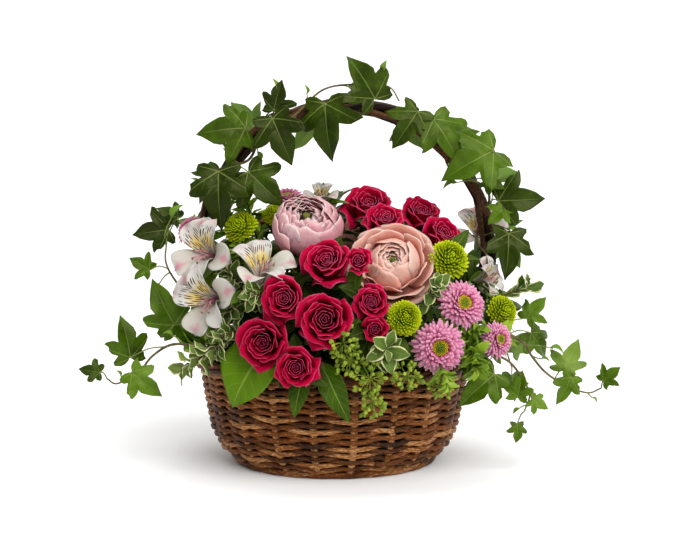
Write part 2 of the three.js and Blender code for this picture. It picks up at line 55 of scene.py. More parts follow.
class Made:
    """One piece while it is being made, in millimetres: its points, faces, maps and tones."""

    def __init__(self):
        self.points = []
        self.tones = []
        self.faces = []
        self.maps = []
        self.finishes = []
        self.count = 0

    def add(self, points, faces, maps, tone, finish=0):
        """Adds points, and faces over them. The tone is (its own chance, depth or age, underside)."""
        points = np.asarray(points, float).reshape(-1, 3)
        start = self.count
        self.count += len(points)
        self.points.append(points)
        self.tones.append(np.broadcast_to(np.asarray(tone, float), (len(points), 3)))
        self.cover(start, faces, maps, finish)
        return start

    def cover(self, start, faces, maps, finish):
        """Adds faces, rows of point numbers counted from the start, with their map places."""
        self.faces.append(np.asarray(faces) + start)
        self.maps.append(np.asarray(maps, float))
        self.finishes.append(np.full(len(faces), finish))

    def piece(self, name, finishes, slot, *nodes):
        """Turns it into a Blender object that stands for the nodes, with its finishes on it."""
        mesh = bpy.data.meshes.new(name)
        corners = np.concatenate([faces.ravel() for faces in self.faces])
        sizes = np.concatenate([np.full(len(faces), faces.shape[1]) for faces in self.faces])
        starts = np.concatenate([[0], np.cumsum(sizes)[:-1]])
        points = np.concatenate(self.points) * MM
        mesh.vertices.add(len(points))
        mesh.vertices.foreach_set("co", points.astype(np.float32).ravel())
        mesh.loops.add(len(corners))
        mesh.loops.foreach_set("vertex_index", corners.astype(np.int32))
        mesh.polygons.add(len(sizes))
        mesh.polygons.foreach_set("loop_start", starts.astype(np.int32))
        mesh.polygons.foreach_set("loop_total", sizes.astype(np.int32))
        mesh.polygons.foreach_set("material_index", np.concatenate(self.finishes).astype(np.int32))
        mesh.polygons.foreach_set("use_smooth", np.ones(len(sizes), bool))
        mesh.update(calc_edges=True)
        maps = np.concatenate([places.reshape(-1, 2) for places in self.maps])
        mesh.uv_layers.new(name="Made").data.foreach_set("uv", maps.astype(np.float32).ravel())
        tones = np.pad(np.concatenate(self.tones), ((0, 0), (0, 1)), constant_values=1)
        layer = mesh.color_attributes.new("tone", "FLOAT_COLOR", "POINT")
        layer.data.foreach_set("color", tones.astype(np.float32).ravel())
        for finish in finishes:
            mesh.materials.append(finish)
        mesh.validate()
        made = bpy.data.objects.new(name, mesh)
        bpy.context.scene.collection.objects.link(made)
        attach(made, "root")
        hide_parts(*nodes)


def unit(vectors):
    """The same ways, each of length 1."""
    vectors = np.asarray(vectors, float)
    length = np.linalg.norm(vectors, axis=-1, keepdims=True)
    return vectors / np.maximum(length, 1e-9)


def rod(made, line, thickness, sides=6, tone=(0.5, 0.5, 0), finish=0, closed=False, flat=1.0, up=None):
    """A round rod along a line. Its thickness (radius) may change; `flat` squashes it across `up`."""
    line = np.asarray(line, float)
    count = len(line)
    radius = np.broadcast_to(np.asarray(thickness, float), (count,))
    side = np.empty_like(line)
    if closed:
        along = unit(np.roll(line, -1, axis=0) - np.roll(line, 1, axis=0))
    else:
        along = unit(np.gradient(line, axis=0))
    if up is None:
        first = np.array([0.0, 0.0, 1.0]) if abs(along[0][2]) < 0.9 else np.array([1.0, 0.0, 0.0])
        last = unit(first - along[0] * first.dot(along[0]))
        for i in range(count):
            last = unit(last - along[i] * last.dot(along[i]))
            side[i] = last
    else:
        up = np.broadcast_to(np.asarray(up, float), line.shape)
        side = unit(up - along * (up * along).sum(axis=1, keepdims=True))
    other = np.cross(along, side)
    turn = np.linspace(0, 2 * math.pi, sides, endpoint=False)
    ring = (
        side[:, None, :] * (np.cos(turn)[None, :, None] * flat)
        + other[:, None, :] * np.sin(turn)[None, :, None]
    )
    points = line[:, None, :] + ring * radius[:, None, None]
    run = np.concatenate([[0], np.cumsum(np.linalg.norm(np.diff(line, axis=0), axis=1))])
    run = np.append(run, run[-1] + 1)
    i, j = np.meshgrid(np.arange(count if closed else count - 1), np.arange(sides), indexing="ij")
    row, after = i * sides, (i + 1) % count * sides
    turned = (j + 1) % sides
    faces = np.stack([row + j, row + turned, after + turned, after + j], -1)
    corners = [(run[i], j), (run[i], j + 1), (run[i + 1], j + 1), (run[i + 1], j)]
    maps = np.stack([np.stack([far, round_it / sides], -1) for far, round_it in corners], -2)
    start = made.add(points, faces.reshape(-1, 4), maps.reshape(-1, 4, 2), tone, finish)
    if not closed:
        foot = np.arange(sides)[None, ::-1]
        tip = (count - 1) * sides + np.arange(sides)[None, :]
        made.cover(start, np.concatenate([foot, tip]), np.zeros((2, sides, 2)), finish)


def oval(angle, reach, height):
    """A point of the basket's oval outline at that reach from the middle line."""
    angle, reach, height = np.broadcast_arrays(angle, reach, height)
    return np.stack([reach * np.cos(angle), DEPTH_SHARE * reach * np.sin(angle), height], -1)


class Share:
    """A number that changes over a surface. A plain sum with it adds a node to its finish."""

    def __init__(self, socket):
        self.socket = socket

    def sum(self, operation, *others):
        node = self.socket.id_data.nodes.new("ShaderNodeMath")
        node.operation = operation
        for socket, value in zip(node.inputs, (self, *others)):
            feed(socket, value)
        return Share(node.outputs[0])

    def __add__(self, other):
        return self.sum("ADD", other)

    def __sub__(self, other):
        return self.sum("SUBTRACT", other)

    def __mul__(self, other):
        return self.sum("MULTIPLY", other)

    def __abs__(self):
        return self.sum("ABSOLUTE")

    def whole(self):
        return self.sum("FLOOR")

    def part(self):
        return self.sum("FRACT")

    def most(self, other):
        return self.sum("MAXIMUM", other)


def feed(socket, value):
    """Wires a socket to a share or to another socket, or sets it to a number, a colour or its web code."""
    if isinstance(value, Share):
        value = value.socket
    elif isinstance(value, str):
        value = srgb(value)
    if isinstance(value, bpy.types.NodeSocket):
        socket.id_data.links.new(value, socket)
    elif value is not None:
        socket.default_value = value


def srgb(code):
    """A colour written as a six-figure web code, as the linear colour that a shader wants."""
    parts = [int(code[i:i + 2], 16) / 255 for i in (0, 2, 4)]
    return [c / 12.92 if c <= 0.04045 else ((c + 0.055) / 1.055) ** 2.4 for c in parts] + [1]


class Finish:
    """A finish while it is being mixed: a material, and the nodes that feed its shader."""

    def __init__(self, name):
        self.material = bpy.data.materials.new(name)
        self.material.use_nodes = True
        self.shader = self.material.node_tree.nodes["Principled BSDF"]

    def node(self, kind, *fed, settings=(), **named):
        """Adds a node and feeds its sockets: the first ones in turn, the others by name."""
        node = self.material.node_tree.nodes.new(kind)
        for key, value in dict(settings).items():
            setattr(node, key, value)
        for socket, value in zip(node.inputs, fed):
            feed(socket, value)
        for key, value in named.items():
            feed(node.inputs[key], value)
        return node

    def made_place(self):
        """The map place: along and round a rod, across and along a petal or a plain leaf. On an ivy leaf
        it runs along from the stalk and out from the middle, in leaf lengths."""
        return self.node("ShaderNodeUVMap", settings={"uv_map": "Made"}).outputs[0]

    def place(self):
        """The two numbers of the map place."""
        return [Share(out) for out in self.node("ShaderNodeSeparateXYZ", self.made_place()).outputs[:2]]

    def tone(self):
        """The three numbers of the tone that each rod, petal or leaf was given."""
        given = self.node("ShaderNodeAttribute", settings={"attribute_name": "tone"}).outputs[0]
        return [Share(out) for out in self.node("ShaderNodeSeparateColor", given).outputs]

    def cloud(self, scale, detail=2.0, roughness=0.5, where=None):
        """Soft patches of 0 to 1, the finer the higher the scale."""
        where = where or self.node("ShaderNodeTexCoord").outputs["Object"]
        sockets = {"Vector": where, "Scale": scale, "Detail": detail, "Roughness": roughness}
        return Share(self.node("ShaderNodeTexNoise", **sockets).outputs["Fac"])

    def drawn(self, x, y, z=0.0):
        """A place made of three numbers, which a cloud can be drawn out over."""
        return self.node("ShaderNodeCombineXYZ", x, y, z).outputs[0]

    def fade(self, value, start, end):
        """0 up to the start, 1 from the end on, whichever of the two is higher."""
        node = self.node("ShaderNodeMapRange", value)
        feed(node.inputs["From Min"], start)
        feed(node.inputs["From Max"], end)
        return Share(node.outputs[0])

    def blend(self, share, *stops):
        """A colour that changes with the share, through (place, web code) stops."""
        ramp = self.node("ShaderNodeValToRGB", share)
        marks = ramp.color_ramp.elements
        while len(marks) < len(stops):
            marks.new(0.5)
        for mark, (place, code) in zip(marks, stops):
            mark.position = place
            mark.color = srgb(code)
        return ramp.outputs["Color"]

    def mix(self, share, under, over, kind="MIX"):
        """Lays one colour over another, as strongly as the share says."""
        node = self.node("ShaderNodeMix", share, settings={"data_type": "RGBA", "blend_type": kind})
        feed(node.inputs[6], under)
        feed(node.inputs[7], over)
        return node.outputs[2]

    def done(self, color, roughness, bumps=(), shine=None, tint=None, glow=None, reach=None, spread=None):
        """Feeds the shader. Bumps are (height, strength, distance) rows, the coarse ones first. The glow
        is how much light soaks in, and its reach and spread how far it comes out again."""
        normal = None
        for height, strength, distance in bumps:
            below = {"Height": height, "Strength": strength, "Distance": distance, "Normal": normal}
            normal = self.node("ShaderNodeBump", **below).outputs[0]
        sockets = {
            "Base Color": color, "Roughness": roughness, "Normal": normal,
            "Specular IOR Level": shine, "Specular Tint": tint,
            "Subsurface Weight": glow, "Subsurface Radius": reach, "Subsurface Scale": spread,
        }
        for key, value in sockets.items():
            feed(self.shader.inputs[key], value)
        return self.material


def wood_finish(name, dark, middle, light, roughness, streak=1.0):
    """Bark or stained willow: streaks along each rod, a tone of its own for each, dark pores, and painted
    shade on the rods that lie deeper in, by their second tone.
    """
    wood = Finish(name)
    own, depth, _ = wood.tone()
    stretch = wood.drawn(0.07 * streak, 5.0, 1.0)
    moved = wood.drawn(own * 91.0, 0.0)
    settings = {"operation": "MULTIPLY_ADD"}
    streaks = wood.node("ShaderNodeVectorMath", wood.made_place(), stretch, moved, settings=settings)
    grain = wood.cloud(3.0, 6.0, 0.65, streaks.outputs[0])
    share = own * 0.55 + grain * 1.45 + wood.cloud(38.0, 3.0) * 0.3 - 0.73
    color = wood.blend(share, (0.18, dark), (0.5, middle), (0.86, light))
    # painted shade: the second tone darkens what lies deeper in, the base, the stakes behind the rods and
    # the middle of the handle
    shaded = wood.mix(depth * -1.0 + 1.0, color, dark, "MULTIPLY")
    rough = grain * 0.27 + (roughness - 0.12)
    return wood.done(shaded, rough, [(grain, 0.5, 0.0006)], shine=0.2, tint=(1.0, 0.85, 0.65, 1))


willow = wood_finish("stained willow", "160804", "784016", "DCAC74", 0.55)

base = Made()
for stick in range(BASE_STICKS):
    turn = math.pi * stick / BASE_STICKS
    reach = np.linspace(-BASE_REACH, BASE_REACH, 9)
    level = 2.6 + 0.2 * (stick % 3)
    line = np.stack([reach * math.cos(turn), DEPTH_SHARE * reach * math.sin(turn), np.full(9, level)], -1)
    rod(base, line, 1.7, 6, (chance.random(), 0.9, 0), up=(0, 0, 1))
for turn_number in range(BASE_RODS):
    reach = 8 + (BASE_REACH - 9.5) * turn_number / (BASE_RODS - 1)
    angle = np.linspace(0, 2 * math.pi, 8 * BASE_STICKS, endpoint=False)
    sway = 1.2 * np.cos(BASE_STICKS * angle + math.pi * turn_number)
    line = oval(angle, reach, 2.7 + sway)
    rod(base, line, np.full(len(line), 1.45), 5, (chance.random(), 0.85, 0), closed=True, up=(0, 0, 1))
base.piece("woven_base", [willow], "wicker", "base_disc")


# ---------------------------------------------------------------------------------------------------
# The foot border. The ends of the side's stakes and a few thick rods are turned round each other under
# the side, like a loose rope, which the basket stands on. Stained willow, like the rest.

FOOT_REACH = 89


def outwards(angle):
    """The level way out of the basket's oval, at that angle."""
    return unit(np.stack([np.cos(angle) * DEPTH_SHARE, np.sin(angle), np.zeros_like(angle)], -1))


def rope_ring(made, reach, height, spread, thickness, strands, twists, steps, flatten=1.0,
              tones=(0.1, 0.9)):
    """A ring of rods that turn round each other, as a loose oval rope lying level."""
    angle = np.linspace(0, 2 * math.pi, steps, endpoint=False)
    for strand in range(strands):
        wander = chance.uniform(-0.3, 0.3)
        turn = twists * angle + 2 * math.pi * strand / strands + wander * np.sin(3 * angle + strand)
        line = oval(angle, reach + spread * np.cos(turn), height + spread * flatten * np.sin(turn))
        girth = thickness * (1 + 0.12 * np.sin(5 * angle + 2 * strand))
        rod(made, line, girth, 7, (chance.uniform(*tones), 0.95, 0), closed=True, up=outwards(angle))


foot = Made()
rope_ring(
    foot, FOOT_REACH, height=4.0, spread=2.9, thickness=2.1, strands=4, twists=6, steps=150, flatten=0.58,
    tones=(0.2, 0.8),
)
rope_ring(
    foot, FOOT_REACH - 4, height=3.0, spread=1.6, thickness=2.2, strands=2, twists=5, steps=90, flatten=0.4
)
foot.piece("foot_rope", [willow], "wicker", "foot_border")


# ---------------------------------------------------------------------------------------------------
# The woven side. Upright stakes stand round the base, and rods are woven in front of one and behind
# the next, each row the other way from the one below it, so that every rod bulges over its stakes.

STAKES = 20
ROWS = 26
ROW_LOW = 9.0
ROW_PITCH = 3.15
ROD_THICKNESS = 2.1
ROD_PIECES = 5  # a row is this many rods, one after the other
FRONT_SWELL = 0.16  # a rod is pressed flat, and so looks thicker, where it passes in front
WEAVE_DEPTH = 4.2  # the middle of the weave lies this far inside the side's outer reach
ROD_SWAY = 2.7
ROD_DIP = 1.6
# the outer reach of the side, and the height where it has it
SIDE_REACH = [93, 104, 113, 118.5, 123]
SIDE_HEIGHT = [6, 14, 32, 60, 90]


def side_reach(height):
    """How far out the woven side is at that height."""
    return np.interp(height, SIDE_HEIGHT, SIDE_REACH)


side = Made()
for stake in range(STAKES):
    turn = 2 * math.pi * (stake + 0.5) / STAKES
    height = np.linspace(4, 92, 15)
    line = oval(np.full(15, turn), side_reach(height) - WEAVE_DEPTH, height)
    out = outwards(np.full(15, turn))
    rod(side, line, 3.4, 8, (0.75 + 0.2 * chance.random(), 0.9, 0), flat=0.7, up=out)

for row in range(ROWS):
    parts = 8 * STAKES
    angle = np.linspace(0, 2 * math.pi, parts, endpoint=False)
    wave = np.cos(STAKES / 2 * (angle - math.pi / STAKES) + math.pi * row)
    # a front pass is a sharp V over its stake, and between two stakes the rods lie close
    dip = 2 / math.pi * np.arcsin(0.99 * wave)
    lift = 0
    for waves in (3, 5, 8, 13):
        lift = lift + chance.uniform(0.05, 0.22) * np.sin(waves * angle + chance.uniform(0, 6.3))
    height = ROW_LOW + ROW_PITCH * row - ROD_DIP * dip + lift
    reach = side_reach(height) - WEAVE_DEPTH + ROD_SWAY * wave
    # rods are short: a fresh one, of another tone, starts every few stakes
    starts = [round(parts * (n + chance.uniform(0, 0.5)) / ROD_PIECES) for n in range(ROD_PIECES)]
    for begin, end in zip(starts, starts[1:] + [starts[0] + parts]):
        run = np.arange(begin, end + 1) % parts
        taper = np.linspace(1.06, 0.92, len(run)) * (1 + FRONT_SWELL * wave[run])
        line = oval(angle[run], reach[run], height[run])
        tone = (chance.uniform(0.1, 0.85), 1.0, 0)
        rod(side, line, ROD_THICKNESS * taper, 7, tone, flat=0.85, up=outwards(angle[run]))
side.piece("woven_willow_side", [willow], "wicker", "woven_side")


# ---------------------------------------------------------------------------------------------------
# The rim. The stakes' long ends are laid over along the top edge and plaited round each other, a thick
# rolled border that the leaves hang over.

RIM_REACH = 123.5
RIM_MIDDLE = 93.4

rim = Made()
rope_ring(
    rim, RIM_REACH, RIM_MIDDLE, spread=3.3, thickness=2.5, strands=5, twists=6, steps=150, flatten=0.95,
    tones=(0.1, 0.8),
)
rope_ring(rim, RIM_REACH, RIM_MIDDLE, spread=0.4, thickness=2.6, strands=1, twists=3, steps=90)
rim.piece("rolled_rim", [willow], "wicker", "rim_border")


# ---------------------------------------------------------------------------------------------------
# The handle. Seven long dark vines are bundled and twisted together, bent into a round hoop, and their
# ends are pushed down inside the woven side on the left and on the right.

STRANDS = 7
THICK_STRANDS = 5  # the others are thinner and wind the other way, over these
HOOP_REACH = 129
HOOP_X = 10
HOOP_Z = 193
BUNDLE = 4.6
LEFT_LEG = [(-92.5, 24), (-99.5, 56), (-103, 90), (-106, 116), (-114, 152)]
RIGHT_LEG = [(92.5, 24), (99.5, 56), (103, 90), (108, 112), (121, 138), (134, 164)]

vine_bark = wood_finish("dark vine bark", "120806", "351D13", "6E4A2E", 0.62, 1.6)


def smooth_line(points, steps):
    """A smooth line through given points, as evenly shared steps (Catmull-Rom)."""
    p = np.asarray(points, float)
    p = np.concatenate([[2 * p[0] - p[1]], p, [2 * p[-1] - p[-2]]])
    spans = len(p) - 3
    at = np.linspace(0, spans, steps + 1)
    i = np.minimum(at.astype(int), spans - 1)
    t = (at - i)[:, None]
    a, b, c, d = p[i], p[i + 1], p[i + 2], p[i + 3]
    bend = 2 * a - 5 * b + 4 * c - d
    return 0.5 * (2 * b + (c - a) * t + bend * t**2 + (3 * b - a - 3 * c + d) * t**3)


hoop = [
    (HOOP_X + HOOP_REACH * math.cos(math.radians(a)), HOOP_Z + HOOP_REACH * math.sin(math.radians(a)))
    for a in range(180, -1, -20)
]
handle_line = smooth_line([(x, 0, z) for x, z in LEFT_LEG + hoop + RIGHT_LEG[::-1]], 260)


def beside(line, turns, distance):
    """A line that winds round another one. The distance may change along it."""
    along = unit(np.gradient(line, axis=0))
    across = np.array([0.0, 1.0, 0.0])
    out = np.cross(along, across)
    turn = 2 * math.pi * turns
    return line + distance * (np.cos(turn)[:, None] * out + np.sin(turn)[:, None] * across)


handle = Made()
share = np.linspace(0, 1, len(handle_line))
for strand in range(STRANDS):
    thick = 2.9 if strand < THICK_STRANDS else 1.9
    reach = BUNDLE * (1 + 0.16 * np.sin(2 * math.pi * (3 + strand % 3) * share + strand * 1.7))
    turns = 5.2 * share + strand / THICK_STRANDS + 0.07 * np.sin(9 * share + strand * 2)
    if strand >= THICK_STRANDS:
        turns = -2.6 * share + strand * 0.4
        reach = reach + 1.4
    line = beside(handle_line, turns, reach[:, None])
    joints = np.maximum(0, np.sin(23 * share + strand)) ** 6
    knots = 1 + 0.1 * np.sin(61 * share + strand * 3) + 0.12 * joints
    rod(handle, line, thick * knots, 8, (chance.random(), 1, 0))
# the core inside the bundle; its low second tone paints it in shade
rod(handle, handle_line, 2.6, 6, (0.1, 0.4, 0))
handle.piece("twisted_vine_handle", [vine_bark], "handle_vine", "handle_hoop")


# ---------------------------------------------------------------------------------------------------
# The liner and the foam. A thin green plastic cup holds the water inside the basket, and a block of
# soaked foam, cut to a dome with a knife, fills it and grips every stem.


def shade_node(name, finish):
    """Gives a carried-over node of the frame its finish."""
    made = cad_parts[name]
    made.data.materials.clear()
    made.data.materials.append(finish)


def foam_finish():
    foam = Finish("soaked foam")
    body = foam.node("ShaderNodeTexCoord").outputs["Object"]
    cells = foam.node("ShaderNodeTexVoronoi", Vector=body, Scale=900.0).outputs["Distance"]
    color = foam.blend(foam.cloud(30.0, 4.0), (0.3, "1C3320"), (0.7, "35573A"))
    return foam.done(color, 0.9, [(cells, 0.6, 0.0005)])


def liner_finish():
    plastic = Finish("green liner plastic")
    creases = plastic.cloud(60.0, 5.0)
    color = plastic.blend(creases, (0.35, "101F14"), (0.7, "1F3A26"))
    roughness = plastic.blend(creases, (0.3, "606060"), (0.7, "909090"))
    return plastic.done(color, roughness, [(creases, 0.4, 0.001)])


shade_node("floral_foam", foam_finish())
shade_node("basket_liner", liner_finish())


# ---------------------------------------------------------------------------------------------------
# The roses. Hot pink spray roses, opened to a cup of thin petals round a tight heart, the outer ones
# rolled back to a point. Each is on a green stem pushed into the foam, with five sepals under the head.

ROOT = np.array([0.0, 0.0, 50.0])
STEM_START = 38
STEM_EXIT = 94
STEM_BEND = 104
LOWEST_STEM = math.radians(31)
GOLDEN = math.pi * (3 - math.sqrt(5))
PETAL_THICKNESS = 0.35
SMALL_LEAF_THICKNESS = 0.3
ROSE_PETALS = 21
SMALL_ROSE_PETALS = 14
SMALL_ROSE = 15  # a rose up to this radius is small
UNDERSIDE = [2, 1, 0, 3]  # turns a face over, split along the same diagonal, so that the two never cross
PLAIN = (0.5, 0.5, 0)
LEAF_SHEEN = (1.0, 1.0, 0.5, 1)
LEAF_SOAK = (0.002, 0.004, 0.001)  # how far red, green and blue light soak into a leaf

# name: [[place], [azimuth, elevation] it faces, radius], azimuth 0 is the front and 90 the right
ROSES = {
    "rose_top": [[(31, 5, 231), (5, 55), 26], [(34, 62, 212), (165, 45), 20]],
    "rose_top_low": [[(45, -33, 222), (8, 48), 20]],
    "rose_top_right": [[(78, 0, 225), (22, 50), 21]],
    "rose_shoulder": [[(96, -30, 208), (35, 42), 22]],
    "rose_spray_centre": [[(-6, -88, 192), (-6, 38), 24], [(21, -104, 195), (4, 24), 13]],
    "rose_middle_left": [[(-41, -108, 163), (-14, 16), 23]],
    "rose_middle": [[(-7, -122, 148), (0, 12), 26]],
    "rose_low_left": [[(-59, -112, 127), (-14, 6), 25]],
    "rose_low": [[(-31, -132, 109), (-4, 4), 20]],
    "rose_spray_right": [[(32, -112, 161), (6, 16), 17], [(35, -122, 139), (4, 12), 12.5]],
    "rose_back_left": [[(-78, 62, 168), (-140, 25), 24], [(-44, 84, 180), (-160, 32), 22]],
    "rose_back_right": [[(78, 66, 176), (140, 28), 24], [(92, 74, 136), (134, 12), 22]],
}


def face_way(look):
    """The way that a head looks, from its azimuth and elevation in degrees."""
    azimuth, elevation = (math.radians(a) for a in look)
    level = math.cos(elevation)
    return np.array([math.sin(azimuth) * level, -math.cos(azimuth) * level, math.sin(elevation)])


def spoke(turn):
    """The way that points out at that turn round a head's or a stem's own axis."""
    return np.array([math.cos(turn), math.sin(turn), 0.0])


def turned_to(way, roll=0.0):
    """Three axes, as rows, whose last is `way`."""
    way = unit(way)
    side = unit(np.cross([0.0, 0.0, 1.0], way)) if abs(way[2]) < 0.97 else np.array([1.0, 0.0, 0.0])
    side = unit(side - way * side.dot(way))
    other = np.cross(way, side)
    c, s = math.cos(roll), math.sin(roll)
    return np.stack([c * side + s * other, -s * side + c * other, way])


def stem_points(points, aim):
    """A stem that starts in the foam, straight towards `aim`, and runs on through the points."""
    away = np.asarray(aim, float) - ROOT
    level = math.hypot(away[0], away[1])
    way = unit([away[0], away[1], max(away[2], level * math.tan(LOWEST_STEM))])
    start = [ROOT + way * d for d in (STEM_START, (STEM_START + STEM_EXIT) / 2, STEM_EXIT, STEM_BEND)]
    return start + [np.asarray(p, float) for p in points]


def sheet(made, grid, thickness, tone, finish=0):
    """A thin petal or leaf from a grid of points: both faces and the edge round them. The third tone is 1
    on the underside."""
    across, along = grid.shape[:2]
    over = unit(np.cross(np.gradient(grid, axis=0), np.gradient(grid, axis=1)))
    under = grid - over * thickness
    number = np.arange(across * along).reshape(across, along)
    i, j = number[:-1, :-1], number[1:, :-1]
    k, m = number[1:, 1:], number[:-1, 1:]
    front = np.stack([i, j, k, m], -1).reshape(-1, 4)
    edge = np.concatenate([number[:-1, 0], number[-1, :-1], number[:0:-1, -1], number[0, :0:-1]])
    after = np.roll(edge, -1)
    total = across * along
    side = np.stack([edge, edge + total, after + total, after], -1)
    faces = np.concatenate([front, front[:, UNDERSIDE] + total, side])
    u, v = np.meshgrid(np.linspace(0, 1, across), np.linspace(0, 1, along), indexing="ij")
    maps = np.tile(np.stack([u, v], -1).reshape(-1, 2), (2, 1))
    points = np.concatenate([grid.reshape(-1, 3), under.reshape(-1, 3)])
    tones = np.tile(np.asarray(tone, float), (2 * total, 1))
    tones[total:, 2] = 1
    made.add(points, faces, maps[faces], tones, finish)


def wrapped_petal(made, place, axes, size, turn, line, width, tone, corner=0.15, power=2.6, tuck=0.05,
                  ruffle=0.02, roll=0.0, point=0.0, creases=0.0, fine=(9, 9)):
    """A petal wrapped round the head's axis. `line` is its (reach, height) from foot to rim and `width`
    half the angle it wraps, in head radii. Its corners fall back and roll out, its rim ruffles and may
    end in a point, and creases run along it."""
    across, along = fine
    u, v = np.meshgrid(np.linspace(-1, 1, across), np.linspace(0, 1, along), indexing="ij")
    line = smooth_line(line, 40)
    reached = v * (1 - corner * np.abs(u) ** power)
    reach = np.interp(reached, np.linspace(0, 1, 41), line[:, 0])
    height = np.interp(reached, np.linspace(0, 1, 41), line[:, 1])
    back = np.clip((v - 0.5) / 0.5, 0, 1) ** 2 * np.abs(u) ** 2
    reach = reach * (1 + tuck * u) + roll * 0.6 * back
    height = height - roll * back + ruffle * np.sin(5.5 * u + 3 * turn) * v**3
    reach = reach + 0.6 * ruffle * np.cos(7.0 * u + 5 * turn) * v**3
    reach = reach + point * np.exp(-((u / 0.22) ** 2)) * v**8
    reach = reach + creases * np.sin(6.5 * u + 9 * turn) * np.sin(math.pi * v) * v
    angle = turn + u * width * (0.5 + 0.5 * np.sin(math.pi * np.clip(0.15 + 0.55 * v, 0, 1)))
    local = np.stack([reach * np.cos(angle), reach * np.sin(angle), height], -1) * size
    sheet(made, place + local @ axes, PETAL_THICKNESS, tone)


def turned_core(made, place, way, size, shape, sides, tone, finish):
    """A round core along the way, from (distance, radius) rows in head radii."""
    line = np.stack([place + way * size * distance for distance, _ in shape])
    rod(made, line, np.array([radius for _, radius in shape]) * size, sides, tone, finish)


def rose_head(made, place, axes, size):
    """Petals in a spiral round a tight core, the inner ones upright and the outer ones rolled back."""
    petals = ROSE_PETALS if size > SMALL_ROSE else SMALL_ROSE_PETALS
    # painted light: the higher heads are given a paler tone, standing in for the stronger sun on them
    painted_sun_paling = np.interp(place[2], [130, 210], [0.0, 0.9])  # the higher ones get more sun
    for k in range(petals):
        t = k / (petals - 1)
        wild = chance.uniform(-1, 1)
        rim = 0.07 + 0.75 * t**1.12 + 0.015 * wild
        height = np.interp(t, [0, 0.3, 0.6, 0.82, 1], [0.20, 0.28, 0.40, 0.36, 0.10]) + 0.035 * wild
        lip = np.interp(t, [0, 0.5, 0.75, 1], [0.0, 0.02, 0.07, 0.17])
        droop = np.interp(t, [0, 0.5, 0.75, 1], [0.0, -0.02, 0.0, 0.11])
        belly = (0.88 - 0.08 * t) * rim + 0.01
        line = [
            (0.05, -0.64), (0.6 * belly + 0.02, -0.56), (belly, 0.35 * height - 0.28),
            (0.94 * rim, height - 0.16), (rim + 0.3 * lip, height - 0.02), (rim + lip, height - droop),
        ]
        wrapped_petal(
            made, place, axes, size, k * GOLDEN + 0.35 * wild, line,
            np.interp(t, [0, 0.4, 1], [1.8, 1.15, 0.85]), (0.45 * chance.random() + painted_sun_paling, t, 0),
            corner=0.10 + 0.24 * t, power=2.4 - 1.1 * t, tuck=0.12 - 0.05 * t, ruffle=0.024 + 0.030 * t,
            roll=np.interp(t, [0, 0.5, 1], [0.0, 0.05, 0.34]), point=np.interp(t, [0.4, 1], [0.0, 0.11]),
        )
    shape = [(-0.4, 0.05), (-0.1, 0.07), (0.06, 0.06), (0.16, 0.02)]
    turned_core(made, place, axes[2], size, shape, 6, (0.5, 0.1, 0), 0)


def small_leaf(made, base, tip, face, width, tone, finish, fold=0.25, bend=0.12, wave=0.0, fine=(7, 9),
               pinch=0.9):
    """A plain leaf from base to tip, folded along its midrib, arched and a little wavy at its edge."""
    base, tip = np.asarray(base, float), np.asarray(tip, float)
    along = tip - base
    length = np.linalg.norm(along)
    along = along / length
    face = np.asarray(face, float)
    up = unit(face - along * face.dot(along))
    across = np.cross(along, up)
    u, v = np.meshgrid(np.linspace(-1, 1, fine[0]), np.linspace(0, 1, fine[1]), indexing="ij")
    half = width * length * np.sin(math.pi * np.clip(v, 0, 1) ** pinch) ** 0.85 * (1 - 0.15 * v) + 0.25
    lift = fold * np.abs(u) ** 1.3 * half + bend * length * (4 * v * (1 - v) - 0.9 * v**2)
    lift = lift + wave * half * np.sin(9 * v + 2 * np.sign(u)) * np.abs(u) ** 2
    grid = base + along * (v * length)[..., None] + across * (u * half)[..., None] + up * lift[..., None]
    sheet(made, grid, SMALL_LEAF_THICKNESS, tone, finish)


def petal_finish(name, deep, body, pale, edge, veins=0.5, rough=0.55, heart_shade_share=0.45, foot_share=0.62,
                 glow=0.12):
    """A petal: darker at its foot and in the heart of the flower, partly its own deeper colour and partly
    painted shade of the hollows, fine veins along it, and a thin pale edge. The glow is how much light
    comes through it."""
    petal = Finish(name)
    across, along = petal.place()
    own, depth, _ = petal.tone()
    lines = petal.cloud(1.0, 3.0, 0.6, petal.drawn(across * 26.0, along * 1.6, own * 40.0))
    cloud = petal.cloud(90.0)
    # painted shade, partly the petal's own deeper colour: inner petals and each petal's foot lean to the
    # deep colour
    share = depth * heart_shade_share + along * foot_share + lines * (0.35 * veins) + own * 0.24 + cloud * 0.2
    share = share - (0.17 * veins + 0.26)
    color = petal.blend(share, (0.08, deep), (0.5, body), (0.95, pale))
    rim = petal.fade(lines * 0.09 + along, 0.97, 1.05)
    brink = petal.fade(abs(across - 0.5), 0.48, 0.5)
    color = petal.mix(rim.most(brink * 0.35) * (own * 0.5 + 0.35), color, edge)
    return petal.done(
        color, lines * 0.15 + (rough - 0.08), [(cloud, 0.45, 0.003), (lines, 0.35, 0.0004)],
        shine=0.08, tint=edge, glow=glow, reach=(0.004, 0.002, 0.002), spread=0.6,
    )


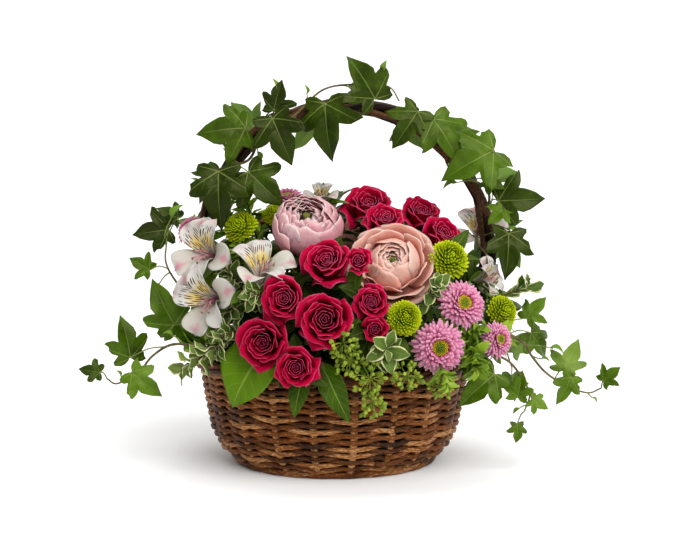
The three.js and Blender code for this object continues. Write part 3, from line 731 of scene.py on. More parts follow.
def leaf_finish(name, dark, light, vein, edge=None, rough=0.4, side_veins=8.0, vein_share=0.6, patchy=0.35):
    """A plain leaf: a pale midrib with side veins that leave it at a slant, a paler underside, and an edge
    of its own colour where the plant has one."""
    leaf = Finish(name)
    across, along = leaf.place()
    own, _, under = leaf.tone()
    cloud = leaf.cloud(55.0, 4.0, 0.6)
    aside = abs(across * 2.0 - 1.0)
    midrib = leaf.fade(aside, 0.06, 0.015)
    slant = ((along - aside * 0.22) * side_veins).part()
    lines = midrib.most(leaf.fade(abs(slant - 0.5), 0.06, 0.0) * 0.45)
    color = leaf.blend(own * 0.55 + cloud * patchy + 0.02, (0.15, dark), (0.75, light))
    color = leaf.mix(lines * vein_share, color, vein)
    color = leaf.mix(under * 0.3, color, vein)
    if edge:
        margin = leaf.fade(leaf.cloud(160.0) * 0.5 + aside, 1.0, 1.1)
        color = leaf.mix(margin, color, edge)
    return leaf.done(
        color, cloud * 0.25 + (rough - 0.12), [(cloud * 0.3 - lines * 0.5, 0.5, 0.0005)],
        shine=0.16, tint=LEAF_SHEEN, glow=0.08, reach=LEAF_SOAK, spread=0.5,
    )


def stalk_finish(name, dark, light, rough=0.45):
    """A stem, a bud or a seed: plain, with a little unevenness."""
    stalk = Finish(name)
    streaks = stalk.cloud(120.0, 3.0)
    color = stalk.blend(streaks, (0.3, dark), (0.7, light))
    return stalk.done(color, rough, [(streaks, 0.3, 0.0004)], shine=0.2)


rose_petal = petal_finish("rose petal", "2C0006", "7C0018", "AE0834", "DC6088")
green_stalk = stalk_finish("green stalk", "24400A", "527420")
rose_leaf = leaf_finish("rose leaf", "141E02", "34480A", "5E702A", rough=0.42)


GUARDS_REACH = 1.18  # the open ranunculus' guard petals reach past its solid
LEAF_CLEAR = 4.5  # a leaf may touch its own stem this near its foot
LEAF_TRIES = 14
COVERED = 45  # a leaf this far out over a flower would hide it, and is stripped off


def blooms_in_the_way():
    """The solid heads of the frame, which a leaf must not pass through."""
    kinds = ("rose_", "ranunculus_", "button_", "aster_", "alstroemeria_")
    corners, faces = [], []
    for name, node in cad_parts.items():
        if name.startswith(kinds) and "greens" not in name:
            start = len(corners)
            solid = np.array([vertex.co / MM for vertex in node.data.vertices])
            if name.startswith("ranunculus_"):
                head = solid[solid[:, 2] > (solid[:, 2].min() + solid[:, 2].max()) / 2].mean(axis=0)
                solid = head + (solid - head) * GUARDS_REACH
            corners.extend(Vector(corner) for corner in solid)
            faces.extend([start + v for v in face.vertices] for face in node.data.polygons)
    return BVHTree.FromPolygons(corners, faces)


in_the_way = blooms_in_the_way()


def blocked(start, end):
    """Whether a flower head stands between the two points."""
    reach = np.linalg.norm(end - start)
    return in_the_way.ray_cast(Vector(start), Vector((end - start) / reach), reach)[0] is not None


def is_free(base, tip, face, width):
    """Whether a leaf from base to tip would pass through no flower head and hide none."""
    along = tip - base
    length = np.linalg.norm(along)
    across = unit(np.cross(along, face))
    start = base + along / length * LEAF_CLEAR
    for aside in (0.0, width * length, -width * length):
        half = base + along * 0.5 + across * aside
        if blocked(start, half) or blocked(half, tip):
            return False
    middle = base + along * 0.5
    for spot in (middle, middle + across * width * length, base + along * 0.75, tip):
        if blocked(spot, spot + unit(ROOT - spot) * COVERED):
            return False
    return True


def stem_line(place, look, size, aim, neck, steps):
    """The middle line of a flower's stem, from the foam to its neck under the head."""
    way = face_way(look)
    at = np.asarray(place, float)
    points = [at + way * neck * 1.7 * size, at + way * neck * 0.86 * size]
    return smooth_line(stem_points(points, aim), steps)


def stem_with_sepals(made, place, look, size, aim, neck, thickness, sepals, stalk=1):
    """The stem up to the head, the swelling under it, and its sepals."""
    rod(made, stem_line(place, look, size, aim, neck, 26), thickness, 6, PLAIN, stalk)
    if not sepals:
        return
    way = face_way(look)
    axes = turned_to(way)
    cup = np.asarray(place, float) + way * neck * size
    swell = [(-0.16, 0.1), (-0.06, 0.17), (0.05, 0.2), (0.16, 0.19), (0.24, 0.1)]
    turned_core(made, cup, way, size, swell, 8, PLAIN, stalk)
    for k in range(sepals):
        out = spoke(2 * math.pi * k / sepals) @ axes
        base = cup + way * 0.12 * size + out * 0.1 * size
        tip = cup + way * 0.22 * size + out * 0.72 * size
        small_leaf(made, base, tip, -way, 0.16, (0.4, 0.5, 0), stalk, fold=-0.2, bend=-0.1, fine=(3, 6))


def stem_leaves(made, place, look, size, aim, neck, count, length, width, finish, low=0.5, rise=1.2):
    """Leaves on the stem under the head, that fill the space between the flowers."""
    steps = 40
    line = stem_line(place, look, size, aim, neck, steps)
    turn = size
    for k in range(count):
        near = int(steps * (low + (0.97 - low) * k / max(1, count - 1)))
        spot, along = line[near], unit(line[near] - line[near - 3])
        axes = turned_to(along)
        for _ in range(LEAF_TRIES):
            turn += GOLDEN * 1.7
            out = spoke(turn) @ axes
            tip = spot + unit(out + along * chance.uniform(0.1, rise)) * length * chance.uniform(0.7, 1.15)
            face = unit(along * 0.7 - out * 0.5 + np.array([0, 0, 0.5]))
            if is_free(spot, tip, face, width):
                tone = (chance.random(), 0.5, 0)
                small_leaf(made, spot, tip, face, width, tone, finish, fold=0.25, bend=0.08, wave=0.12)
                break


def flowers_on_stems(table, head, neck, stem, sepals, leaves, skins, slot, ending="_flowers"):
    """Makes each piece of a table: its heads, their stems, and the leaves on the stems. A head is turned
    about its own axis by chance, where the table doesn't say how far."""
    for name, heads in table.items():
        flower = Made()
        for place, look, size, *turned in heads:
            roll = math.radians(turned[0]) if turned else chance.uniform(0, 6.3)
            head(flower, np.asarray(place, float), turned_to(face_way(look), roll), size)
            stem_with_sepals(flower, place, look, size, heads[0][0], neck, stem, sepals)
            stem_leaves(flower, place, look, size, heads[0][0], neck, **leaves)
        flower.piece(name + ending, skins, slot, name)


flowers_on_stems(
    ROSES, rose_head, neck=-0.85, stem=1.8, sepals=5,
    leaves=dict(count=10, length=36, width=0.29, finish=2),
    skins=[rose_petal, green_stalk, rose_leaf], slot="rose_petal",
)


# ---------------------------------------------------------------------------------------------------
# The ranunculus. Heads of very many thin round petals laid one over the other in a ball. The pale one
# is still half closed and faces up; the peach one has opened to wide guard petals. Hollow green stems.

PALE_RANUNCULUS = {"ranunculus_pale": [[(-24, -45, 219), (0, 50), 34]]}
PEACH_RANUNCULUS = {
    "ranunculus_peach": [[(51, -72, 189), (-2, 34), 39]],
    "ranunculus_back": [[(4, 86, 184), (178, 36), 33]],
}
CARPELS = 24
# guard petals of the open flower, one whorl a row: (reach, height) from foot to rim, and how many
GUARDS = [
    [[(0.08, -0.55), (0.45, -0.42), (0.62, -0.10), (0.67, 0.14), (0.72, 0.27)], 5],
    [[(0.08, -0.58), (0.52, -0.46), (0.76, -0.15), (0.86, 0.08), (0.93, 0.14)], 5],
    [[(0.08, -0.60), (0.55, -0.52), (0.82, -0.28), (0.96, -0.09), (1.04, -0.11)], 6],
]


def ball_petals(made, place, axes, size, inner, outer, tight, wide, squash, petals, untidy, dome):
    """Petals on shells from the inner to the outer reach, whose rims open from tight to wide degrees. The
    inner shells are lifted by up to the dome."""
    for k in range(petals):
        t = k / (petals - 1)
        wild = chance.uniform(-1, 1)
        reach = inner + (outer - inner) * t**0.8
        rim = tight + (wide - tight) * t**1.1 + untidy * wild * (0.6 + 0.7 * t)
        angles = np.radians(np.linspace(128, rim, 7))
        lift = dome * (1 - t) * np.linspace(0, 1, 7)
        line = np.stack([reach * np.sin(angles), squash * reach * np.cos(angles) - 0.04 + lift], -1)
        line[-1, 0] += 0.03 * t
        wrapped_petal(
            made, place, axes, size, k * GOLDEN + 0.3 * wild, line, np.interp(t, [0, 1], [1.0, 0.86]),
            (chance.random(), t, 0), power=2.2, ruffle=0.0055 * untidy, creases=0.016,
        )


def flower_eye(made, place, axes, size, reach, height):
    """The green eye in the middle, a tight knot of small carpels."""
    for k in range(CARPELS):
        out = reach * math.sqrt((k + 0.5) / CARPELS)
        spot = np.array([out * math.cos(k * GOLDEN), out * math.sin(k * GOLDEN), height - 0.10]) * size
        tip = spot + np.array([0, 0, 0.12 * size])
        girth = np.array([0.024, 0.014]) * size
        rod(made, place + np.stack([spot, tip]) @ axes, girth, 5, (0.3, 0.5, 0), 2)
    core = [(-0.2, 0.06), (0.05, 0.11), (height - 0.04, 0.08)]
    turned_core(made, place, axes[2], size, core, 8, (0.3, 0.5, 0), 2)


def pale_head(made, place, axes, size):
    """The ball that is still half closed."""
    ball_petals(
        made, place, axes, size, inner=0.32, outer=0.92, tight=25, wide=48, squash=0.80, petals=32,
        untidy=13, dome=0.19,
    )
    flower_eye(made, place, axes, size, reach=0.09, height=0.40)


def peach_head(made, place, axes, size):
    """A tight heart in three whorls of wide guard petals."""
    ball_petals(
        made, place, axes, size, inner=0.20, outer=0.62, tight=15, wide=35, squash=0.84, petals=27,
        untidy=4, dome=0.07,
    )
    flower_eye(made, place, axes, size, reach=0.06, height=0.21)
    for row, (line, count) in enumerate(GUARDS):
        for k in range(count):
            wrapped_petal(
                made, place, axes, size, 2 * math.pi * k / count + row * 0.6, line, 0.70,
                (chance.random(), 0.7, 0), corner=0.22, power=2.3, ruffle=0.035, roll=0.06,
                creases=0.018, fine=(13, 11),
            )


pale_petal = petal_finish(
    "pale ranunculus petal", "BA6670", "C8868E", "CFAAAA", "DCCECA", veins=1.1, rough=0.6,
    heart_shade_share=0.05, foot_share=0.80, glow=0.5,
)
peach_petal = petal_finish(
    "peach ranunculus petal", "D48C7A", "DAA090", "DAAFA2", "E2CCC2", veins=0.6, rough=0.6,
    heart_shade_share=0.1, foot_share=0.7, glow=0.5,
)
heart_green = stalk_finish("green heart of the flower", "3D4A14", "7B8034", 0.7)

for table, head, petal, slot in (
    (PALE_RANUNCULUS, pale_head, pale_petal, "pale_pink_petal"),
    (PEACH_RANUNCULUS, peach_head, peach_petal, "peach_petal"),
):
    flowers_on_stems(
        table, head, neck=-0.72, stem=2.4, sepals=5, leaves=dict(count=10, length=36, width=0.26, finish=3),
        skins=[petal, green_stalk, heart_green, rose_leaf], slot=slot, ending="_flower",
    )


# ---------------------------------------------------------------------------------------------------
# The green button chrysanthemums. Small lime pompons: a dome of short curled petals, each like a narrow
# spoon, darker and tighter in the middle.

BUTTONS = {
    "button_spray_left": [[(-84, -12, 214), (-35, 45), 18], [(-54, 2, 224), (-20, 60), 13.5]],
    "button_right": [[(100, -69, 192), (24, 34), 20]],
    "button_middle": [[(60, -108, 147), (12, 18), 17]],
    "button_far_right": [[(148, -50, 143), (45, 22), 17]],
    "button_back": [[(48, 98, 148), (158, 14), 18], [(16, 108, 128), (176, 8), 15]],
}
BUTTON_PETALS = 190
NARROW_THICKNESS = 0.3


def narrow_petal(made, line, width, across, cup, tone):
    """A narrow spoon-shaped petal along a line, hollow like a gutter. `across` is its width's way."""
    count = len(line)
    v = np.linspace(0, 1, count)
    half = width * np.interp(v, [0, 0.3, 0.7, 0.9, 1], [0.35, 0.75, 1.0, 0.9, 0.35])
    along = unit(np.gradient(line, axis=0))
    over = unit(np.cross(along, across))
    u = np.array([-1.0, 0.0, 1.0])[:, None, None]
    hollow = (np.abs(u) * cup - cup) * (over * half[:, None])[None]
    grid = line[None] + u * (across * half[:, None])[None] + hollow
    sheet(made, grid, NARROW_THICKNESS, tone)


def button_head(made, place, axes, size):
    """Petals in a spiral all over the dome, each curled up towards its top."""
    for k in range(BUTTON_PETALS):
        t = (k + 0.5) / BUTTON_PETALS
        tilt = math.acos(1 - 1.32 * t) + chance.uniform(-0.06, 0.06)
        level = spoke(k * GOLDEN)
        top = np.array([0.0, 0.0, 1.0])
        way = math.sin(tilt) * level + math.cos(tilt) * top
        bow = math.cos(tilt) * level - math.sin(tilt) * top
        length = (0.30 + 0.22 * t**0.7) * chance.uniform(0.92, 1.06)
        s = np.linspace(0, 1, 6)[:, None]
        curl = 0.30 - 0.22 * t
        line = way * (0.40 + 0.02 * t + length * s) - bow * (curl * length * s**2 * 1.4)
        line = line * size * np.array([1, 1, 0.86])
        across = np.broadcast_to(np.cross(way, bow), line.shape)
        tone = (chance.random(), min(1, 0.1 + 1.2 * t), 0)
        narrow_petal(made, place + line @ axes, size * (0.058 + 0.038 * t), across @ axes, 0.6, tone)
    heart = [(-0.42, 0.18), (-0.25, 0.36), (0.0, 0.42), (0.25, 0.32), (0.40, 0.1)]
    turned_core(made, place, axes[2], size, heart, 9, (0.1, 0.0, 0), 0)


button_petal = petal_finish(
    "green button petal", "345200", "8CA404", "BAC61C", "C8D230", veins=0.3, rough=0.6,
    heart_shade_share=0.38, foot_share=0.62,
)
soft_leaf = leaf_finish("soft green leaf", "223404", "4E660F", "78903C", rough=0.5, side_veins=6.0)

flowers_on_stems(
    BUTTONS, button_head, neck=-0.5, stem=1.4, sepals=0,
    leaves=dict(count=12, length=38, width=0.20, finish=2, rise=1.8),
    skins=[button_petal, green_stalk, soft_leaf], slot="green_button_petal",
)


# ---------------------------------------------------------------------------------------------------
# The asters. Pink heads of many rows of narrow rays, the inner ones short and standing up, round a
# raised yellow-green disc of tiny buds. Thin leafy stems.

ASTERS = {
    "aster_right": [[(111, -92, 157), (22, 24), 23.5]],
    "aster_low": [[(90, -112, 122), (8, 6), 25]],
    "aster_far_right": [[(143, -76, 123), (38, 12), 18]],
    "aster_top_left": [[(-44, 34, 236), (-20, 72), 20], [(-70, 48, 208), (-130, 50), 18]],
    "aster_left": [[(-134, 22, 210), (-60, 40), 16]],
    "aster_back": [[(-34, 106, 140), (-164, 12), 23], [(-84, 86, 128), (-136, 10), 19]],
}
ASTER_RAYS = 150
DISC_BUDS = 70
OPEN_BUDS = 0.6  # the buds from this far out are open, and yellow
DISC_SHARE = 0.29


def aster_head(made, place, axes, size):
    """Rays in a spiral, the inner ones short and steep, then the buds of the disc."""
    for k in range(ASTER_RAYS):
        t = (k + 0.5) / ASTER_RAYS
        level = spoke(k * GOLDEN + chance.uniform(-0.05, 0.05))
        rise = math.radians(70 - 72 * t**0.8 + chance.uniform(-8, 8))
        length = (0.36 + 0.35 * t**0.7) * chance.uniform(0.9, 1.06)
        s = np.linspace(0, 1, 6)[:, None]
        way = math.cos(rise) * level + math.sin(rise) * np.array([0, 0, 1.0])
        drop = np.array([0, 0, -1.0]) * (0.10 + 0.14 * t) - level * 0.1 * (1 - t)
        foot = level * (DISC_SHARE * 0.82 + 0.05 * t) + np.array([0, 0, 0.04 - 0.16 * t])
        line = (foot + way * length * s + drop * length * s**2) * size
        across = np.broadcast_to(np.cross(level, [0, 0, 1.0]), line.shape)
        tone = (chance.random(), t, 0)
        narrow_petal(made, place + line @ axes, size * 0.08, across @ axes, 0.55, tone)
    for k in range(DISC_BUDS):
        t = math.sqrt((k + 0.5) / DISC_BUDS)
        turn = k * GOLDEN
        reach = DISC_SHARE * t
        spot = np.array([reach * math.cos(turn), reach * math.sin(turn), 0.14 - 0.06 * t * t]) * size
        tip = spot + np.array([0, 0, 0.09 * size])
        girth = np.array([0.024, 0.032, 0.018]) * size
        bud = place + np.stack([spot - [0, 0, 0.1 * size], (spot + tip) / 2, tip]) @ axes
        rod(made, bud, girth, 5, (t, 1 - t, 0), 3 if t > OPEN_BUDS else 5)
    saucer = [(-0.40, 0.1), (-0.26, 0.22), (-0.06, 0.3), (0.10, 0.2)]
    turned_core(made, place, axes[2], size, saucer, 9, PLAIN, 1)


aster_ray = petal_finish(
    "aster ray", "983460", "C86C92", "DEA0B6", "EEC8D2", veins=0.6, rough=0.6,
    heart_shade_share=0.15, foot_share=0.75,
)
aster_disc = stalk_finish("open aster disc buds", "A89A1C", "DCC02C", 0.75)
aster_middle = stalk_finish("closed aster disc buds", "56701A", "93A02A", 0.75)
aster_leaf = leaf_finish("aster leaf", "38560A", "88A42A", "A2B858", rough=0.5, side_veins=6.0)

flowers_on_stems(
    ASTERS, aster_head, neck=-0.42, stem=1.4, sepals=0,
    leaves=dict(count=20, length=29, width=0.20, finish=4, rise=1.3),
    skins=[aster_ray, green_stalk, soft_leaf, aster_disc, aster_leaf, aster_middle], slot="aster_petal",
)


# ---------------------------------------------------------------------------------------------------
# The alstroemeria. Funnels of six white petals: three broad outer ones blushed pink at the tip, and
# three narrower inner ones, yellow in the throat with dark red dashes. Six curved stamens stand out.

# heads as in the roses' table, with the degrees that each is turned about its own axis
LILIES = {
    "alstroemeria_left": [[(-114, -42, 195), (-30, 22), 29, 12], [(-110, -66, 156), (-30, 4), 30, 48]],
    "alstroemeria_middle": [[(-62, -82, 186), (14, 58), 28, 25]],
    "alstroemeria_right": [[(134, 34, 206), (-8, 48), 25, 20], [(136, -34, 172), (60, 20), 18, 30]],
    "alstroemeria_back": [[(-12, 12, 240), (-10, 68), 16, 0], [(-8, 50, 224), (-175, 55), 23, 10]],
}
TEPAL_THICKNESS = 0.4
TEPAL_SOAK = (0.003, 0.002, 0.002)
DASH_ROWS = 9.0
STAMENS = 6
OUTER_TURNS = [90, 206, 334]
INNER_TURNS = [58, 122, 270]  # the two streaked ones lean together, the last one is plain
OUTER_LINE = [(0.05, -0.95), (0.14, -0.55), (0.32, -0.14), (0.62, 0.12), (0.90, 0.22), (1.08, 0.12)]
INNER_LINE = [(0.04, -0.95), (0.10, -0.55), (0.24, -0.10), (0.50, 0.22), (0.80, 0.34), (1.04, 0.30)]


def tepal(made, place, axes, size, turn, inner, tone):
    """One petal of the funnel. The inner ones are narrower and stand higher."""
    u, v = np.meshgrid(np.linspace(-1, 1, 11), np.linspace(0, 1, 15), indexing="ij")
    line = smooth_line(INNER_LINE if inner else OUTER_LINE, 30)
    if inner:
        half = 0.045 + 0.26 * np.clip(np.sin(math.pi * v**1.6), 0, 1) ** 0.95
    else:
        half = 0.05 + 0.40 * np.clip(np.sin(math.pi * v**1.75), 0, 1) ** 0.7
    reach = np.interp(v, np.linspace(0, 1, 31), line[:, 0])
    height = np.interp(v, np.linspace(0, 1, 31), line[:, 1])
    half = half * (1 - 0.7 * np.clip((v - 0.95) / 0.05, 0, 1))
    cup = (0.14 if inner else 0.17) * u**2 * np.sin(math.pi * v) ** 0.5
    wave = 0.03 * np.sin(7 * v + 4 * turn) * u**2
    notch = 0.04 * np.exp(-((u / 0.2) ** 2)) * np.clip((v - 0.9) / 0.1, 0, 1)
    aside = u * half
    reach = reach + notch
    local = np.stack(
        [
            reach * math.cos(turn) - aside * math.sin(turn),
            reach * math.sin(turn) + aside * math.cos(turn),
            height + cup + wave,
        ],
        -1,
    )
    sheet(made, place + (local * size) @ axes, TEPAL_THICKNESS, tone, 3 if inner else 0)


def alstroemeria_head(made, place, axes, size):
    """Three outer and three inner petals, and the curved stamens with their anthers."""
    for degrees in OUTER_TURNS:
        tepal(made, place, axes, size, math.radians(degrees), False, (chance.random(), 1, 0))
    for degrees in INNER_TURNS:
        streaked = 0.0 if degrees == INNER_TURNS[-1] else 1.0
        tepal(made, place, axes, size, math.radians(degrees), True, (chance.random(), streaked, 0))
    for k in range(STAMENS):
        out = spoke(2 * math.pi * k / STAMENS + 0.3)
        points = [
            out * 0.03 + [0, 0, -0.7], out * 0.06 + [0, 0, -0.2],
            out * 0.12 + [0, -0.08, 0.15], out * 0.24 + [0, -0.18, 0.34],
        ]
        line = smooth_line(points, 8) * size
        rod(made, place + line @ axes, 0.6, 5, PLAIN, 4)
        anther = np.stack([line[-1] + d * np.array([0.6, 0.4, 1]) for d in (-1.6, -0.8, 0, 0.8, 1.6)])
        rod(made, place + anther @ axes, np.array([0.3, 0.8, 1.0, 0.8, 0.3]), 6, PLAIN, 5)


def outer_tepal_finish():
    """Creamy white greyed down with painted shade, green at the foot, with a soft pink blotch near the tip
    and a pink keel.
    """
    petal = Finish("white petal with a pink blush")
    across, along = petal.place()
    cloud = petal.cloud(110.0, 4.0)
    aside = abs(across * 2.0 - 1.0)
    # painted shade: the white is greyed down, as these flowers stand in shade
    color = petal.blend(along, (0.0, "98A678"), (0.3, "B8B3A4"), (1.0, "C2C1B8"))
    blotch = petal.fade(cloud * 0.30 + aside * 0.36 + abs(along - 0.80), 0.38, 0.18)
    color = petal.mix(blotch * 0.62, color, "B85070")
    color = petal.mix(petal.fade(cloud * 0.25 + aside, 0.30, 0.12) * 0.3, color, "CF8798")
    veins = petal.cloud(1.0, where=petal.drawn(across * 22.0, along))
    color = petal.mix(veins * 0.14, color, "B98D92")
    return petal.done(
        color, 0.5, [(veins, 0.4, 0.0005)], shine=0.15, glow=0.15, reach=TEPAL_SOAK, spread=0.6
    )


def inner_tepal_finish():
    """White greyed down with painted shade, with a yellow patch, crossed by short dark red dashes that run
    along the petal.
    """
    petal = Finish("streaked inner petal")
    across, along = petal.place()
    own, streaked, _ = petal.tone()
    cloud = petal.cloud(130.0, 3.0)
    aside = abs(across * 2.0 - 1.0)
    # painted shade: the white is greyed down, as these flowers stand in shade
    color = petal.mix(petal.fade(cloud * 0.5 + along, 1.05, 1.35) * 0.6, "C1C0B8", "B86A7E")
    color = petal.mix(petal.fade(cloud * 0.3 + aside, 0.36, 0.16) * 0.22, color, "D08298")
    yellow = petal.fade(aside * 0.16 + abs(along - 0.50), 0.24, 0.06) * (streaked * 0.8)
    color = petal.mix(yellow, color, "D8BC48")
    rows = across * DASH_ROWS
    row = own.sum("MULTIPLY_ADD", DASH_ROWS, rows.whole())
    start = petal.node("ShaderNodeTexWhiteNoise", settings={"noise_dimensions": "1D"}, W=row)
    beat = along * 5.5 + Share(start.outputs["Value"])
    cell = petal.drawn(row, beat.whole())
    whim = petal.node("ShaderNodeTexWhiteNoise", settings={"noise_dimensions": "3D"}, Vector=cell)
    near = rows.part() - 0.5
    span = beat.part() - 0.5
    mark = petal.fade(near * near * 15.0 + span * span * 4.8, 1.0, 0.7)
    field = petal.fade(aside * 0.10 + abs(along - 0.56), 0.29, 0.22)
    chosen = Share(whim.outputs["Value"]).sum("GREATER_THAN", 0.2) * streaked
    color = petal.mix(mark * field * chosen, color, "4A0A14")
    return petal.done(
        color, 0.5, [(cloud, 0.3, 0.0005)], shine=0.15, glow=0.12, reach=TEPAL_SOAK, spread=0.6
    )


outer_tepal = outer_tepal_finish()
inner_tepal = inner_tepal_finish()
filament = stalk_finish("pink stamen", "B8607A", "D9A0A4", 0.5)
anther_skin = stalk_finish("grey-brown anther", "5D5236", "8F8358", 0.8)

flowers_on_stems(
    LILIES, alstroemeria_head, neck=-0.95, stem=1.7, sepals=0,
    leaves=dict(count=26, length=40, width=0.20, finish=2, low=0.4),
    skins=[outer_tepal, green_stalk, soft_leaf, inner_tepal, filament, anther_skin],
    slot="alstroemeria_petal",
)


# ---------------------------------------------------------------------------------------------------
# The broad leaves. Salal leaves on woody twigs: leathery, glossy and bright green, with a pointed tip.
# They hang over the rim and hide where the stems go into the foam.

# name: base, tip, half width (over the length) and paleness of each leaf
BROAD_LEAVES = {
    "broad_leaf_front": [((-54, -96, 122), (-89, -108, 71), 0.47, 0.7)],
    "pointed_leaves_front": [
        ((-10, -115, 110), (13, -126, 60), 0.21, 0.0),
        ((-24, -112, 104), (-34, -123, 64), 0.22, 0.0),
        ((14, -112, 106), (46, -114, 113), 0.25, 0.0),
    ],
    "broad_leaf_back_left": [((-74, 84, 118), (-92, 96, 78), 0.40, 0.5)],
    "broad_leaf_back_right": [((82, 86, 116), (98, 92, 76), 0.40, 0.4)],
}
LEAVES_FACE_FROM = np.array([0.0, 0.0, 90.0])


def leaf_face(base, tip):
    """The way a hanging leaf faces: out of the middle of the basket."""
    return unit((np.asarray(base, float) + np.asarray(tip, float)) / 2 - LEAVES_FACE_FROM)


broad_leaf = leaf_finish(
    "salal leaf", "1C3002", "54760C", "8EA24A", rough=0.34, side_veins=7.0, vein_share=0.5, patchy=0.5
)
brown_twig = stalk_finish("brown twig", "2B1D12", "6B4E2E", 0.6)

for name, leaves in BROAD_LEAVES.items():
    twig = Made()
    for base, tip, width, paleness in leaves:
        into = np.asarray(base) + 0.12 * (np.asarray(tip, float) - base)
        rod(twig, smooth_line(stem_points([base, into], leaves[0][0]), 20), 1.3, 6, PLAIN, 1)
        small_leaf(
            twig, base, tip, leaf_face(base, tip), width, (paleness, 0.5, 0), 0,
            fold=0.22, bend=0.09, wave=0.10, fine=(17, 21), pinch=0.78,
        )
    called = name.replace("leaf", "salal").replace("leaves", "salal")
    twig.piece(called, [broad_leaf, brown_twig], "broad_leaf", name)


# ---------------------------------------------------------------------------------------------------
# The variegated pittosporum. Woody sprigs with small wavy leaves in bunches at the ends, grey-green with
# a cream margin. They fill the dome between the flowers.

# name: sprigs, each with its points outside the foam, its leaves, their length and the share they cover
PITTOSPORUM = {
    "pittosporum_left": [
        [[(-88, -86, 130), (-104, -94, 118), (-129, -88, 99)], 46, 21, 0.52],
        [[(-82, -62, 142), (-92, -74, 150)], 18, 20, 0.32],
    ],
    "pittosporum_middle": [
        [[(-58, -90, 160), (-68, -104, 167)], 24, 20, 0.34],
        [[(-80, -50, 164), (-92, -58, 180)], 18, 20, 0.30],
    ],
    "pittosporum_low": [[[(40, -104, 122), (45, -126, 123)], 16, 23, 0.30]],
    "pittosporum_right_middle": [[[(80, -84, 160), (86, -100, 174)], 26, 21, 0.34]],
    "pittosporum_right": [[[(140, -32, 150), (170, -44, 164)], 42, 25, 0.5]],
    "pittosporum_back": [
        [[(-6, 106, 112), (-12, 128, 116)], 40, 16, 0.36],
        [[(56, 96, 110), (66, 116, 104)], 30, 20, 0.40],
        [[(112, 36, 114), (132, 42, 108)], 30, 22, 0.40],
    ],
}
PITTOSPORUM_WIDTH = 0.29  # half a leaf's width over its length


def leafy_sprig(made, points, count, length, cover, width, wave, bend, out=0.9, loose=0.5):
    """A stem from the foam with leaves in a spiral up the last part of it, closer towards the tip."""
    steps = 60
    line = smooth_line(stem_points(points, points[0]), steps)
    rod(made, line, np.linspace(1.4, 0.6, len(line)), 6, PLAIN, 1)
    for k in range(count):
        place = 1 - cover * (1 - k / (count - 1)) ** 1.3
        at = place * steps
        low = min(steps - 1, int(at))
        spot = line[low] + (line[low + 1] - line[low]) * (at - low)
        along = unit(line[low + 1] - line[low])
        aside = spoke(k * GOLDEN + chance.uniform(-loose, loose)) @ turned_to(along)
        rise = 0.25 + 0.75 * (k / count) ** 1.5 + chance.uniform(-loose, loose)
        reach = length * chance.uniform(0.65, 1.2) * (1 - 0.3 * (k / count) ** 4)
        tip = spot + unit(aside * out + along * rise) * reach
        sway = np.array([chance.uniform(-loose, loose) for _ in range(3)])
        face = unit(along * 0.9 - aside * 0.4 + sway)
        tone = (chance.random(), place, 0)
        if is_free(spot, tip, face, width):
            small_leaf(
                made, spot, tip, face, width, tone, 0,
                fold=0.3, bend=bend, wave=wave, fine=(5, 9), pinch=1.15,
            )


pittosporum_leaf = leaf_finish(
    "pittosporum leaf", "1E3008", "526A2A", "84944E", edge="C8C692", rough=0.42, side_veins=6.0,
    vein_share=0.35, patchy=0.6,
)

for name, sprigs in PITTOSPORUM.items():
    sprig = Made()
    for points, count, length, cover in sprigs:
        leafy_sprig(sprig, points, count, length, cover, PITTOSPORUM_WIDTH, wave=0.4, bend=0.05)
    sprig.piece(name + "_sprig", [pittosporum_leaf, brown_twig], "variegated_leaf", name)


# ---------------------------------------------------------------------------------------------------
# The aster greens. Leafy side shoots of the asters, soft green stems with narrow pointed leaves, that
# show between the lower flowers and hang a little over the rim.

# name: sprigs, each with its points outside the foam, its leaves, their length, the share they cover and
# their half width (over the length)
GREENS = {
    "aster_greens_right": [
        [[(112, -84, 118), (122, -104, 104)], 60, 19, 0.48, 0.24],
        [[(86, -98, 114), (90, -119, 108), (96, -122, 94)], 26, 16, 0.34, 0.24],
        [[(106, -76, 124), (122, -92, 134)], 34, 18, 0.44, 0.22],
    ],
    "aster_greens_back": [
        [[(-96, 48, 140), (-122, 60, 140)], 40, 24, 0.46, 0.24],
        [[(-66, 26, 180), (-74, 16, 212), (-80, 4, 240)], 50, 21, 0.36, 0.15],
        [[(-110, 22, 110), (-130, 26, 106)], 30, 24, 0.42, 0.24],
        [[(-108, -26, 114), (-126, -30, 108)], 30, 22, 0.42, 0.24],
        [[(-82, 2, 180), (-99, 4, 220)], 44, 22, 0.46, 0.24],
        [[(-82, 22, 176), (-92, 16, 210), (-97, 8, 240)], 30, 20, 0.30, 0.15],
        [[(-70, -18, 176), (-84, -24, 196)], 26, 20, 0.34, 0.24],
        [[(-60, 92, 112), (-70, 112, 104)], 30, 22, 0.42, 0.24],
    ],
}

for name, sprigs in GREENS.items():
    sprig = Made()
    for points, count, length, cover, width in sprigs:
        leafy_sprig(sprig, points, count, length, cover, width, wave=0.3, bend=0.08, out=1.0)
    sprig.piece(name + "_shoot", [aster_leaf, green_stalk], "aster_leaf", name)


# ---------------------------------------------------------------------------------------------------
# The seeded eucalyptus. Thin branches that end in clusters of pale green seed cups the size of small
# peas, each on its own short stalk and drawn out to a point. They hang over the rim.

# name: middle, reach and number of bunches of each cluster
SEED_CLUSTERS = {
    "seeded_eucalyptus_middle": [[(8, -124, 127), 16, 18], [(14, -124, 112), 15, 16]],
    "seeded_eucalyptus_hanging": [
        [(31, -127, 97), 15, 16], [(33, -127, 76), 12, 12],
        [(62, -119, 98), 14, 14], [(91, -110, 88), 12, 10],
    ],
}
SEEDS_A_BUNCH = 3
SEED_ROOM = 7  # a bunch of cups reaches this far past its fork


